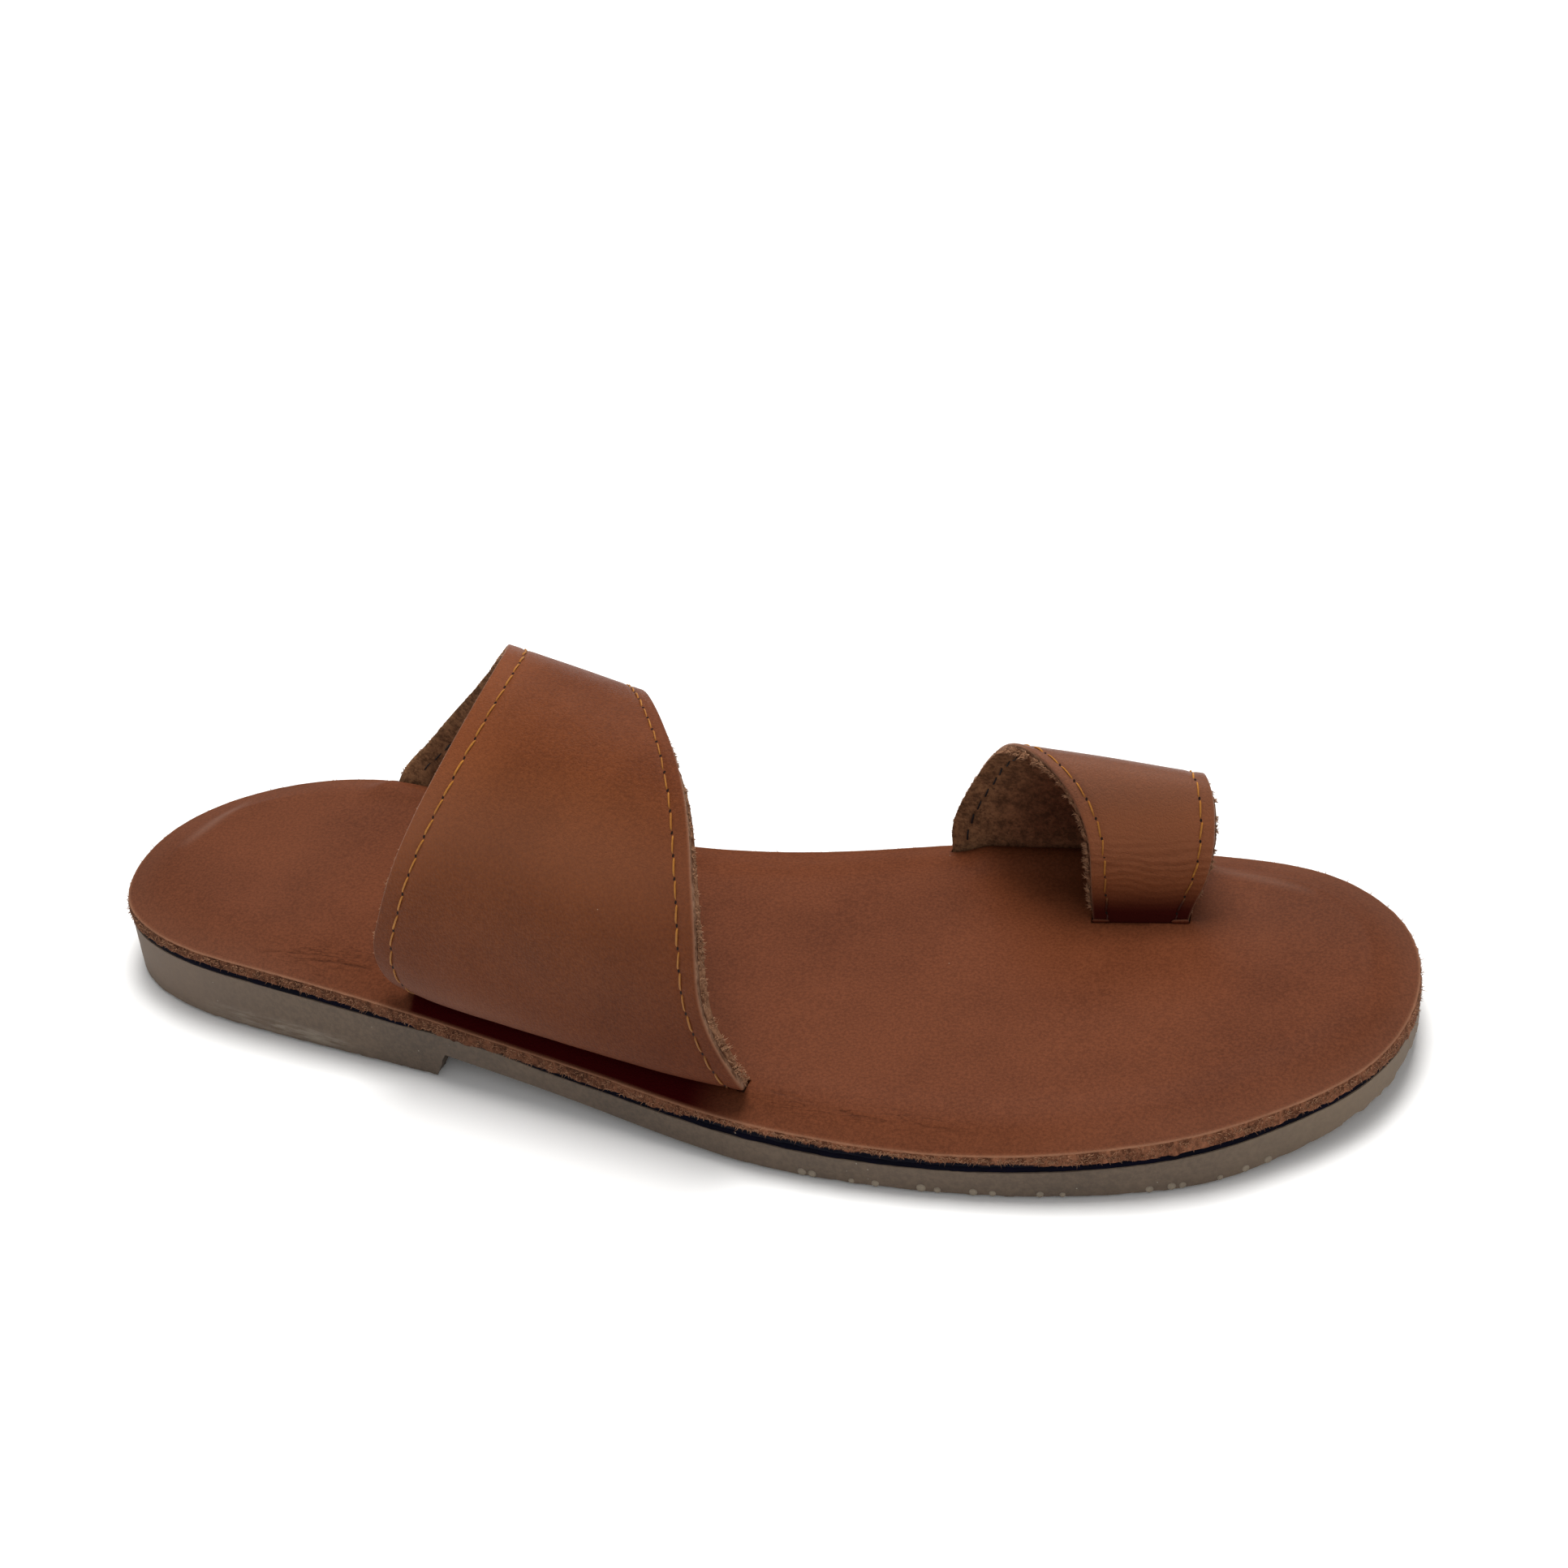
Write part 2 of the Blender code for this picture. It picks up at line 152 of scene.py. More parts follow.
# Outer face of the instep strap: name, rear edge x y z, front edge x y z.
# A height of None is worked out: the foot stands on the midsole, the mouth is at the footbed's surface.
INSTEP_ROWS = (
    ("lateral_foot", (-54.5, -25.0, None), (14.0, -40.4, None)),
    ("lateral_mouth", (-54.5, -25.0, None), (14.0, -40.4, None)),
    ("lateral_fold", (-56.0, -29.0, 17.6), (15.0, -43.1, 14.6)),
    ("lateral_bulge", (-59.6, -30.7, 23.0), (13.0, -44.6, 20.6)),
    ("lateral_wall", (-58.6, -29.8, 33.0), (8.9, -43.3, 31.0)),
    ("lateral_rise", (-54.8, -27.4, 43.8), (7.8, -39.6, 43.0)),
    ("lateral_shoulder", (-49.6, -22.6, 54.9), (6.4, -33.6, 53.2)),
    ("lateral_top", (-44.8, -14.8, 63.9), (3.2, -23.7, 61.8)),
    ("crest", (-42.0, -1.8, 69.4), (-3.2, -10.8, 65.6)),
    ("medial_top", (-43.0, 11.2, 68.8), (-12.4, 5.2, 64.4)),
    ("medial_shoulder", (-50.0, 24.8, 60.0), (-20.5, 18.7, 56.3)),
    ("medial_rise", (-59.8, 32.8, 46.8), (-24.5, 26.2, 43.5)),
    ("medial_wall", (-70.4, 36.2, 34.2), (-25.5, 29.4, 30.0)),
    ("medial_bulge", (-79.0, 37.2, 24.2), (-25.0, 30.2, 20.0)),
    ("medial_mouth", (-83.6, 35.8, None), (-24.0, 29.6, None)),
    ("medial_foot", (-83.6, 35.8, None), (-24.0, 29.6, None)),
)

# Outer face of the toe loop, from the slot between the toes to the medial slot
TOE_ROWS = (
    ("toe_foot", (66.0, 18.1, None), (84.0, 19.8, None)),
    ("toe_mouth", (66.0, 18.1, None), (84.0, 19.8, None)),
    ("toe_wall", (65.8, 18.3, 23.0), (87.0, 21.0, 22.6)),
    ("toe_rise", (64.7, 19.9, 33.3), (88.5, 23.4, 33.6)),
    ("toe_top", (60.0, 22.9, 41.4), (87.6, 26.5, 39.2)),
    ("crest", (53.3, 27.7, 44.9), (86.2, 30.0, 40.3)),
    ("medial_top", (46.9, 33.8, 41.8), (84.6, 35.0, 38.0)),
    ("medial_rise", (41.4, 38.8, 33.0), (82.5, 40.0, 31.0)),
    ("medial_wall", (36.7, 40.8, 23.5), (81.0, 42.8, 22.0)),
    ("medial_mouth", (33.4, 40.8, None), (80.5, 43.4, None)),
    ("medial_foot", (33.4, 40.8, None), (80.5, 43.4, None)),
)

SIDE_SLOT_LIFT = 1.6        # mouth of a slot near the edge, above the footbed's edge
TOE_SLOT_LIFT = 3.4         # mouth of the slot between the toes, on the padded middle
SLOT_GAP = 0.3
SLOT_DEPTH = 2.0
SLOT_SHARE = 0.12           # share of a strap that its slot's cutter follows
SAG_SHARE = 0.085           # where the instep strap's lateral fold hangs lowest in the middle
SAG_REACH = 0.035
SAG_WAY = (0.0, -0.42, -1.0)

# Creases of the footbed's leather: name, start x y, end x y, bow sideways, half width, depth
FOOTBED_CREASES = (
    ("heel_fold", (-78.0, -24.2), (-63.0, -25.0), 0.3, 0.30, 0.13),
    ("heel_fold_rear", (-90.0, -23.6), (-78.5, -23.2), 0.3, 0.30, 0.07),
    ("heel_fold_upper", (-78.0, -21.0), (-65.0, -21.2), 0.3, 0.32, 0.05),
    ("heel_nick", (-76.4, -27.0), (-73.4, -27.5), 0.0, 0.26, 0.09),
    ("ball_fold", (16.0, -39.4), (31.0, -42.4), 0.3, 0.30, 0.08),
    ("ball_fold_front", (29.0, -41.7), (45.0, -43.4), -0.3, 0.30, 0.07),
    ("ball_fold_toe", (42.0, -42.4), (57.0, -43.0), -0.4, 0.32, 0.05),
    ("toe_strap_dent", (46.0, 36.0), (66.0, 17.0), 0.5, 4.6, 0.45),
    ("instep_dent", (-20.0, 24.0), (18.0, 33.5), -1.0, 5.0, 0.25),
)
CREASE_SHOULDER = 1.8       # how far out its raised shoulders lie, in half widths of the crease

# Places where the footbed's leather has hairline wrinkles: name, middle x y, half length, half width
CRINKLES = (
    ("heel", -75.0, -23.0, 13.0, 3.2),
    ("ball", 34.0, -42.0, 21.0, 2.4),
)

# Painted highlights, bright streaks where the footbed's leather bends over its pad: name, start x y, end x y,
# bow, half width, strength
FOOTBED_GLINTS = (
    ("heel_far", (-119.2, 3.8), (-112.5, 25.0), 0.3, 1.1, 0.4),
    ("toe_far", (74.0, 39.4), (107.0, 31.6), 1.4, 1.1, 0.34),
)

# How far the raw edge hangs over the dark layer along the lateral side: name, x, hang.
# Below nought the dark glue was smeared up over the edge instead.
EDGE_HANG = (
    ("heel_back", -128.0, 0.6),
    ("heel_corner", -113.0, 0.1),
    ("heel", -98.0, -0.2),
    ("heel_middle", -88.0, -0.15),
    ("heel_front", -73.0, 0.1),
    ("waist_rear", -51.0, 0.5),
    ("waist", -30.0, 0.65),
    ("strap_middle", -10.0, 0.4),
    ("strap_front", 3.0, 0.35),
    ("smear_start", 6.0, -0.75),
    ("smear", 29.0, -1.0),
    ("smear_end", 46.0, -0.75),
    ("ball", 66.0, -0.45),
    ("toe_rear", 80.0, -0.05),
    ("toe_side", 110.0, 0.1),
    ("toe_corner", 121.0, 0.2),
    ("toe_end", 124.5, 1.0),
    ("toe_tip", 128.0, 1.4),
)
MEDIAL_HANG = 0.2
EDGE_FLARE = 0.12           # how far the raw edge's foot stands out

# How far the rim of the raw edge lies under the leather's even height along the lateral side: name, x, drop
RIM_DROP = (
    ("heel_back", -128.0, 0.15),
    ("heel_side", -102.0, 0.3),
    ("heel", -85.0, 0.0),
    ("waist_rear", -51.0, 0.1),
    ("waist", -30.0, 0.5),
    ("strap_middle", -10.0, 0.25),
    ("strap_front", 5.0, 0.4),
    ("smear", 29.0, 0.2),
    ("ball", 52.0, 0.4),
    ("toe_rear", 66.0, 0.2),
    ("toe_side", 84.0, -0.45),
    ("toe_quarter", 100.0, -0.4),
    ("toe_corner", 122.0, 0.3),
    ("toe_tip", 128.0, 0.4),
)
MEDIAL_DROP = 0.0
RIM_REACH = 6.0             # how far in from the edge the leather follows its rim down
RUBBER_LIP = 0.8            # the rubber stands up over the dark layer at the waist
LIP_CLEARANCE = 0.5         # share of that lip by which the dark layer draws back

# Lips of leather raised round the slots: name, start x y, end x y, height, reach
SLOT_LIPS = (
    ("instep_medial", (-84.0, 32.0), (-24.0, 26.6), 2.2, 4.4),
    ("toe_medial", (42.0, 36.4), (80.5, 38.8), 2.4, 4.6),
    ("toe_inner", (66.0, 19.2), (84.0, 20.8), 0.35, 2.4),
)

# Pad edge, a low ridge under the leather at the toe and the back of the heel
PAD_CREST_INSET = 8.6
PAD_CREST_WIDTH = 1.7
PAD_CREST_RISE = 0.3
EDGE_BAND = 8.5             # evenly ringed band of the footbed along its edge
RING_STEP = 0.36

# Studs: those under the sole, and those that the trimmed side cuts through. The rings of a stud are given as
# a share of its radius and a height out of the rubber.
STUD_PITCH = 2.5
STUD_RADIUS = 0.95
STUD_RINGS = ((1.0, -0.1 * TREAD), (0.9, 0.5 * TREAD), (0.55, 0.93 * TREAD))
STUD_SIDES = 8
STUD_MARGIN = 1.7           # room left along the outline
CUT_STUD_RADII = (0.55, 0.9)
CUT_STUD_RINGS = ((1.0, -0.2), (0.92, 0.05), (0.55, 0.14))
CUT_STUD_SIDES = 12

# Straps and their seams
GRAIN_LEATHER = 1.35        # thickness of the grain leather, the lining takes the rest of the wall
EDGE_ROUND = 0.45
EDGE_ZONE = 8.0             # finely divided band along each edge
STITCH_PITCH = 4.1
STITCH_LENGTH = 3.5
INNER_STITCH_LENGTH = 2.6
STITCH_RADIUS = 0.21
STITCH_SLANT = 0.15
STITCH_RINGS = 9
STITCH_SIDES = 6
HOLE_LENGTH = 0.34
HOLE_WIDTH = 0.22
HOLE_STAND = 0.045
HOLE_SIDES = 10
SEAM_DEPTH = 0.2
SEAM_WIDTH = 0.7
OPEN_SHARES = (0.03, 0.97)  # stretch of a strap that its seams and hairs follow
LIT_BAND_REACH = 9.0         # how far in from the rear edge the lining has painted light
HEM_ROLLS = ((0, 3.4, 0.42), (1, 3.4, 0.62))    # turned corners of the toe loop: edge, length, radius
HEM_RINGS = 16
HEM_SIDES = 12

# Hairs of the cut edges
FOOTBED_HAIRS = 9500
TUFT_HAIRS = 14
FOOTBED_HAIR_RADIUS = 0.085
STRAP_HAIR_RADIUS = 0.095

# Unevenness of the surfaces: amount, size and seed of each term that is added up
EDGE_SCALLOPS = ((0.42, 1.5, 3), (0.24, 0.8, 4))
EDGE_ROUGHNESS = ((0.16, 0.8, 5), (0.12, (2.2, 2.2, 1.0), 6))
RIM_WAVES = ((0.08, 1.6, 7),)
FOOTBED_WAVES = ((0.1, 24.0, 8), (0.03, 7.0, 9))
# ragged rear end of the painted shadow under the instep strap
SHADOW_EDGE_WAVES = ((0.4, 2.0, 11),)
GLUE_WAVES = ((0.28, (3.0, 3.0, 8.0), 12), (0.22, (0.6, 0.6, 8.0), 13))
DARK_LAYER_WAVES = ((0.12, 4.0, 14), (0.06, 0.9, 15))
RUBBER_TRIM = ((0.05, (6.0, 6.0, 14.0), 23), (0.02, 1.2, 24))
BREAST_ROUGHNESS = ((0.25, 1.4, 31), (0.2, (1.0, 3.0, 1.0), 32))
STRAP_WAVES = ((0.16, 17.0, 51), (0.05, 6.0, 52))
STRAP_CUT_ROUGHNESS = ((0.1, 0.9, 55), (0.08, 2.5, 56))
LINING_WAVES = ((0.1, 3.0, 57),)
LINING_RAGS = ((0.3, 1.3, 58), (0.18, 0.5, 59))

# Grid sizes
OUTLINE_SAMPLES = 4000
HALF_STATIONS = 620
SHARE_STEP = 1e-4
NOISE_TABLE = 4096
NOISE_PRIMES = np.array([73856093, 19349663, 83492791])
CUT_RINGS = 8               # rings of the footbed's raw edge
INNER_RINGS = 30            # rings of the footbed's middle
SIDE_RINGS = 10             # rings of the outsole's side
CUT_COLUMNS = 4             # columns of a strap's or lining's raw edge
UNDER_COLUMNS = 8           # columns of the grain leather's inner side
LINING_OUTER_COLUMNS = 6
LINING_INNER_COLUMNS = 44
SEAM_SAMPLES = 1600

# Colours of the finishes in linear light, each a light and a deep tone
STRAP_DYE = (0.172, 0.0475, 0.0142, 1.0), (0.088, 0.0227, 0.0065, 1.0)
FOOTBED_DYE = (0.142, 0.0405, 0.0160, 1.0), (0.070, 0.018, 0.0064, 1.0)
FOOTBED_CUT = (0.162, 0.065, 0.034, 1.0), (0.044, 0.016, 0.008, 1.0)
STRAP_CUT = (0.32, 0.18, 0.112, 1.0), (0.13, 0.061, 0.034, 1.0)
SUEDE_DYE = (0.258, 0.102, 0.050, 1.0), (0.102, 0.031, 0.0155, 1.0)
SUEDE_CUT = (0.29, 0.148, 0.082, 1.0), (0.085, 0.032, 0.016, 1.0)
GOLD_THREAD = (0.50, 0.205, 0.028, 1.0), (0.30, 0.105, 0.014, 1.0)
BLACK_THREAD = (0.012, 0.011, 0.013, 1.0), (0.004, 0.004, 0.005, 1.0)
# painted shade inside the needle holes
HOLE_SHADE = (0.016, 0.006, 0.003, 1.0), (0.006, 0.002, 0.001, 1.0)
LEATHER_HAIR = (0.42, 0.225, 0.13, 1.0), (0.16, 0.066, 0.034, 1.0)
SUEDE_HAIR = (0.46, 0.255, 0.148, 1.0), (0.20, 0.088, 0.045, 1.0)
RUBBER = (0.144, 0.103, 0.073, 1.0), (0.076, 0.056, 0.042, 1.0)
PALE_RUBBER = (0.262, 0.214, 0.160, 1.0), (0.182, 0.147, 0.110, 1.0)
DARK_LAYER = (0.003, 0.0025, 0.008, 1.0), (0.001, 0.001, 0.003, 1.0)
PALE_FLOOR = (0.94, 0.94, 0.94, 1.0), (0.92, 0.92, 0.92, 1.0)

# Colours laid over them: painted light, painted sheen, painted highlight and painted shade, and glue, scuffs,
# specks and dust
# painted light
PAINTED_LIGHT_LEATHER = (0.285, 0.092, 0.036, 1.0)
# painted sheen
PAINTED_SHEEN_LEATHER = (0.19, 0.105, 0.078, 1.0)
# painted shade in hairline wrinkles and in creases
WRINKLE_SHADE = (0.03, 0.009, 0.004, 1.0)
FOLD_SHADE = (0.02, 0.006, 0.003, 1.0)
SHADED_LEATHER = (0.036, 0.0015, 0.002, 1.0)
# pale cut rim, and painted highlight on the turned corners' upper sides
PALE_RIM_AND_HIGHLIGHT = (0.31, 0.155, 0.092, 1.0)
LEATHER_SHEEN = (0.85, 0.66, 0.58, 1.0)
LEATHER_DUST = (0.5, 0.4, 0.3, 1.0)
DARK_GLUE = (0.003, 0.003, 0.007, 1.0)
# painted light along the lining's rear edge
LIT_SUEDE = (0.36, 0.19, 0.095, 1.0)
SHADED_SUEDE = (0.040, 0.016, 0.009, 1.0)
SUEDE_SHEEN = (0.7, 0.4, 0.22, 1.0)
SHADED_THREAD = (0.04, 0.008, 0.004, 1.0)
LAYER_DUST = (0.3, 0.24, 0.18, 1.0)
# painted light at the rubber's toe and heel ends
LIT_TOE_RUBBER = (0.25, 0.185, 0.125, 1.0)
LIT_HEEL_RUBBER = (0.215, 0.155, 0.115, 1.0)
SCUFFED_RUBBER = (0.26, 0.215, 0.17, 1.0)
RUBBER_SPECK = (0.42, 0.37, 0.29, 1.0)

Strap = namedtuple(
    "Strap",
    "name rows wall steps middle_columns seams proud sag wrinkle hem_fade hairs front_hairs looks",
)


# Curves and fields

def eased_between(near, far, near_slope, far_slope, span, t):
    """A cubic from one value to the next that keeps both slopes."""
    start = near * (1 + 2 * t) * (1 - t) ** 2 + near_slope * span * t * (1 - t) ** 2
    return start + far * t ** 2 * (3 - 2 * t) - far_slope * span * t ** 2 * (1 - t)


def spline(points, closed):
    """A smooth cubic through the points, as a function of a share from 0 to 1 of its chord length."""
    points = np.asarray(points, float)
    if closed:
        points = np.vstack([points, points[:1]])
    knots = walked(points)
    step = np.linalg.norm(np.diff(points, axis=0), axis=1)
    count = len(points)
    matrix = np.zeros((count, count))
    target = np.zeros_like(points)
    pull = np.diff(points, axis=0) / step[:, None]
    for i in range(1, count - 1):
        matrix[i, i - 1:i + 2] = step[i], 2.0 * (step[i - 1] + step[i]), step[i - 1]
        target[i] = 3.0 * (step[i] * pull[i - 1] + step[i - 1] * pull[i])
    if closed:
        matrix[0, [0, 1, -2]] = 2.0 * (step[-1] + step[0]), step[-1], step[0]
        target[0] = 3.0 * (step[0] * pull[-1] + step[-1] * pull[0])
        matrix[-1, [0, -1]] = 1.0, -1.0
    else:
        matrix[0, :2] = 2.0, 1.0
        target[0] = 3.0 * pull[0]
        matrix[-1, -2:] = 1.0, 2.0
        target[-1] = 3.0 * pull[-1]
    slope = np.linalg.solve(matrix, target)

    def at(share):
        length = np.clip(np.asarray(share, float), 0.0, 1.0) * knots[-1]
        i = np.clip(np.searchsorted(knots, length, side="right") - 1, 0, count - 2)
        t = ((length - knots[i]) / step[i])[:, None]
        return eased_between(points[i], points[i + 1], slope[i], slope[i + 1], step[i][:, None], t)

    return at


def walked(points):
    """Length walked along a line up to each of its points."""
    return np.concatenate([[0.0], np.cumsum(np.linalg.norm(np.diff(points, axis=0), axis=1))])


def unit(vectors):
    return vectors / np.linalg.norm(vectors, axis=-1, keepdims=True)


def circle(sides):
    """Cosines and sines of evenly spaced turns."""
    angle = np.arange(sides) * math.pi / (sides / 2.0)
    return np.cos(angle), np.sin(angle)


def noise(points, size, seed):
    """Smooth noise from -1 to 1 at points, changing over about a size, which may differ along each axis."""
    table = np.random.default_rng(seed).uniform(-1.0, 1.0, NOISE_TABLE)
    cell = np.asarray(points, float).reshape(-1, 3) / size
    low = np.floor(cell).astype(np.int64)
    share = cell - low
    share = share * share * (3.0 - 2.0 * share)
    total = np.zeros(len(cell))
    for corner in itertools.product((0, 1), repeat=3):
        mixed = np.bitwise_xor.reduce((low + corner) * NOISE_PRIMES, axis=1)
        weight = np.prod(np.where(np.array(corner) == 1, share, 1.0 - share), axis=1)
        total += table[mixed % NOISE_TABLE] * weight
    return total.reshape(np.shape(points)[:-1])


def uneven(points, terms):
    """The sum of some noises, each with its amount, size and seed."""
    return sum(amount * noise(points, size, seed) for amount, size, seed in terms)


def smooth_step(value, low, high):
    """A value eased from 0 at low to 1 at high."""
    t = np.clip((value - low) / (high - low), 0.0, 1.0)
    return t * t * (3.0 - 2.0 * t)


def bell(value, middle, width):
    """1 at the middle, fading to both sides."""
    return np.exp(-((value - middle) / width) ** 2)


def fade_above(value, start, reach):
    """1 up to the start, fading over a reach above it."""
    return bell(np.maximum(value - start, 0.0), 0.0, reach)


def hump(t):
    """1 at the middle of a share from 0 to 1, and nought at and past its ends."""
    return np.clip(4.0 * t * (1.0 - t), 0.0, 1.0)


# Heights of the sole

def profile(x, column):
    """Height of the outsole at x, eased between the rows of the side profile."""
    xs, zs = (np.array([row[k] for row in PROFILE]) for k in (X_COLUMN, column))
    slope = np.gradient(zs, xs)
    x = np.clip(x, xs[0], xs[-1])
    i = np.clip(np.searchsorted(xs, x, side="right") - 1, 0, len(xs) - 2)
    span = xs[i + 1] - xs[i]
    return eased_between(zs[i], zs[i + 1], slope[i], slope[i + 1], span, (x - xs[i]) / span)


def tread_base(x):
    """Rubber between the studs, before the shank is hollowed."""
    return np.maximum(profile(x, UNDER_COLUMN), 0.0) + TREAD


def rubber_top(x):
    return profile(x, TOP_COLUMN)


def rubber_lip(x):
    """How far the rubber's side stands up over the dark layer."""
    return RUBBER_LIP * smooth_step(x, -60.0, -45.0) * (1.0 - smooth_step(x, -37.0, -25.0))


def footbed_under(x):
    return rubber_top(x) + DARK_BAND


def leather_edge(x):
    return footbed_under(x) + LEATHER_EDGE


def above_edge(points):
    """Height of points above the footbed's edge."""
    return points[..., 2] - leather_edge(points[..., 0])


def pad_height(points, inset):
    """Lift of the padded leather at a distance in from the edge, with the ridge of the pad's own edge."""
    t = np.clip(inset / PAD_FULL, 0.0, 1.0)
    x, y = points[:, 0], points[:, 1]
    toe = smooth_step(x, 72.0, 92.0) * smooth_step(y, 2.0, 22.0)
    heel = smooth_step(-x, 98.0, 112.0) * smooth_step(y, -6.0, 6.0)
    ridge = PAD_CREST_RISE * bell(inset, PAD_CREST_INSET, PAD_CREST_WIDTH)
    return PAD_RISE * t * (2.0 - t) + ridge * np.maximum(toe, heel)


# Outline of the sole

def outline_ring():
    """The outline as a ring from the heel back along the lateral side, with its inward normals."""
    dense = spline([row[1:] for row in OUTLINE], True)(np.linspace(0.0, 1.0, OUTLINE_SAMPLES + 1))[:-1]
    low, high = dense.min(axis=0), dense.max(axis=0)
    dense = (dense - (low + high) / 2.0) * np.array([LENGTH, WIDTH]) / (high - low)
    dense = np.roll(dense, -int(dense[:, 0].argmin()), axis=0)
    toe = int(dense[:, 0].argmax())
    ring = []
    for half in (dense[:toe + 1], np.vstack([dense[toe:], dense[:1]])):
        walk = walked(half)
        share = np.linspace(0.0, walk[-1], HALF_STATIONS + 1)[:-1]
        ring.append(np.column_stack([np.interp(share, walk, half[:, k]) for k in (0, 1)]))
    ring = np.vstack(ring)
    along = unit(np.roll(ring, -1, axis=0) - np.roll(ring, 1, axis=0))
    return ring, np.column_stack([-along[:, 1], along[:, 0]])


def plan_tree(ring):
    """A tree that finds the nearest station of a ring in plan."""
    tree = KDTree(len(ring))
    for number, (x, y) in enumerate(ring):
        tree.insert((x, y, 0.0), number)
    tree.balance()
    return tree


RING, INWARD = outline_ring()
STATIONS = len(RING)
FLAT_RING = np.column_stack([RING, np.zeros(STATIONS)])
RING_TREE = plan_tree(RING)


def edge_distance(points):
    """Distance of points in plan from the outline."""
    return np.array([RING_TREE.find((x, y, 0.0))[2] for x, y in points[:, :2].tolist()])


def edge_ways(stations):
    """Directions out of the outline and along it at some stations."""
    level = np.zeros(len(stations))
    outward = np.column_stack([-INWARD[stations], level])
    return outward, np.column_stack([outward[:, 1], -outward[:, 0], level])


def along_edge(table, medial, points):
    """A value from a table along the lateral edge, which fades into one value on the medial side."""
    rows = np.array([row[1:] for row in table])
    lateral = np.interp(points[:, 0], rows[:, 0], rows[:, 1])
    medial = medial + (rows[-1, 1] - medial) * smooth_step(points[:, 0], 108.0, 124.0)
    share = smooth_step(points[:, 1], -4.0, 16.0)
    return lateral * (1.0 - share) + medial * share


def edge_hang(points):
    """How far the raw edge hangs at points of the outline, in plan, without its scallops."""
    return along_edge(EDGE_HANG, MEDIAL_HANG, points)


def rim_drop(points):
    return along_edge(RIM_DROP, MEDIAL_DROP, points)


# Mesh helpers

def grid_quads(rows, columns, wrap):
    """Quads of a grid of points numbered row by row. A wrapped grid closes each row on itself."""
    i, j = np.meshgrid(np.arange(rows - 1), np.arange(columns if wrap else columns - 1), indexing="ij")
    near, far = i * columns, (i + 1) * columns
    ahead = (j + 1) % columns
    return np.stack([near + j, near + ahead, far + ahead, far + j], -1).reshape(-1, 4)


def repeat_faces(faces, copies, points_each):
    """The same faces for each of many copies whose points follow one another."""
    faces = np.asarray(faces)
    shifted = faces[None] + (np.arange(copies) * points_each)[:, None, None]
    return shifted.reshape(-1, faces.shape[1]).tolist()


def stack_faces(rings, sides, copies, first_cap):
    """Faces of many stacks of rings, closed at their last ring and, if asked, at their first one."""
    count = rings * sides
    caps = [np.arange(sides)[::-1]] if first_cap else []
    caps.append(np.arange(sides) + count - sides)
    return repeat_faces(grid_quads(rings, sides, True), copies, count) + repeat_faces(caps, copies, count)


def new_mesh(name, vertices, faces):
    """A mesh from points in millimetres."""
    mesh = bpy.data.meshes.new(name)
    mesh.from_pydata((np.asarray(vertices) * MM).tolist(), [], [tuple(face) for face in faces])
    return mesh


def new_object(name, data):
    thing = bpy.data.objects.new(name, data)
    bpy.context.scene.collection.objects.link(thing)
    return thing


def piece(name, vertices, faces, materials, indices=None):
    """A piece of the shoe from points in millimetres. It rides on the shoe's one body."""
    mesh = new_mesh(name, vertices, faces)
    for material in materials:
        mesh.materials.append(material)
    if indices is not None:
        mesh.polygons.foreach_set("material_index", np.asarray(indices, np.int32))
    mesh.validate()
    mesh.shade_smooth()
    thing = new_object(name, mesh)
    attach(thing, "root")
    return thing


def solid_piece(name, vertices, faces, materials, indices=None):
    """A piece whose faces are turned outward."""
    thing = piece(name, vertices, faces, materials, indices)
    turn_outward(thing.data)
    return thing


def turn_outward(mesh):
    """Flip a mesh's faces if they point inwards."""
    mesh.calc_loop_triangles()
    points = np.array([v.co for v in mesh.vertices])
    corners = np.array([t.vertices for t in mesh.loop_triangles])
    a, b, c = (points[corners[:, k]] for k in range(3))
    if np.einsum("ij,ij->i", a, np.cross(b, c)).sum() < 0.0:
        mesh.flip_normals()


def points_of(thing):
    flat = np.zeros(len(thing.data.vertices) * 3, np.float32)
    thing.data.vertices.foreach_get("co", flat)
    return flat.reshape(-1, 3) / MM


def paint(thing, name, values):
    """Store a value for each point, which the materials read by name."""
    layer = thing.data.attributes.new(name, "FLOAT", "POINT")
    layer.data.foreach_set("value", np.asarray(values, np.float32).ravel())


def carve(target, cutters):
    """Cut the cutters out of a piece and keep the result as its mesh."""
    for cutter in cutters:
        modifier = target.modifiers.new(cutter.name, "BOOLEAN")
        modifier.operation = "DIFFERENCE"
        modifier.solver = "EXACT"
        modifier.object = cutter
    graph = bpy.context.evaluated_depsgraph_get()
    carved = bpy.data.meshes.new_from_object(target.evaluated_get(graph))
    target.modifiers.clear()
    target.data = carved
    carved.shade_smooth()
    for cutter in cutters:
        bpy.data.objects.remove(cutter)


def slab(name, outer, inner):
    """A closed solid between two matching grids of points, for carving."""
    steps, columns = outer.shape[:2]
    count = steps * columns
    quads = grid_quads(steps, columns, False)
    rim = [i * columns for i in range(steps)]
    rim += [(steps - 1) * columns + j for j in range(1, columns)]
    rim += [i * columns + columns - 1 for i in range(steps - 2, -1, -1)]
    rim += list(range(columns - 2, 0, -1))
    faces = quads[:, ::-1].tolist() + (quads + count).tolist()
    faces += [(b, a, a + count, b + count) for a, b in zip(rim, rim[1:] + rim[:1])]
    mesh = new_mesh(name, np.vstack([outer.reshape(-1, 3), inner.reshape(-1, 3)]), faces)
    mesh.validate()
    turn_outward(mesh)
    return new_object(name, mesh)


# Sole layers

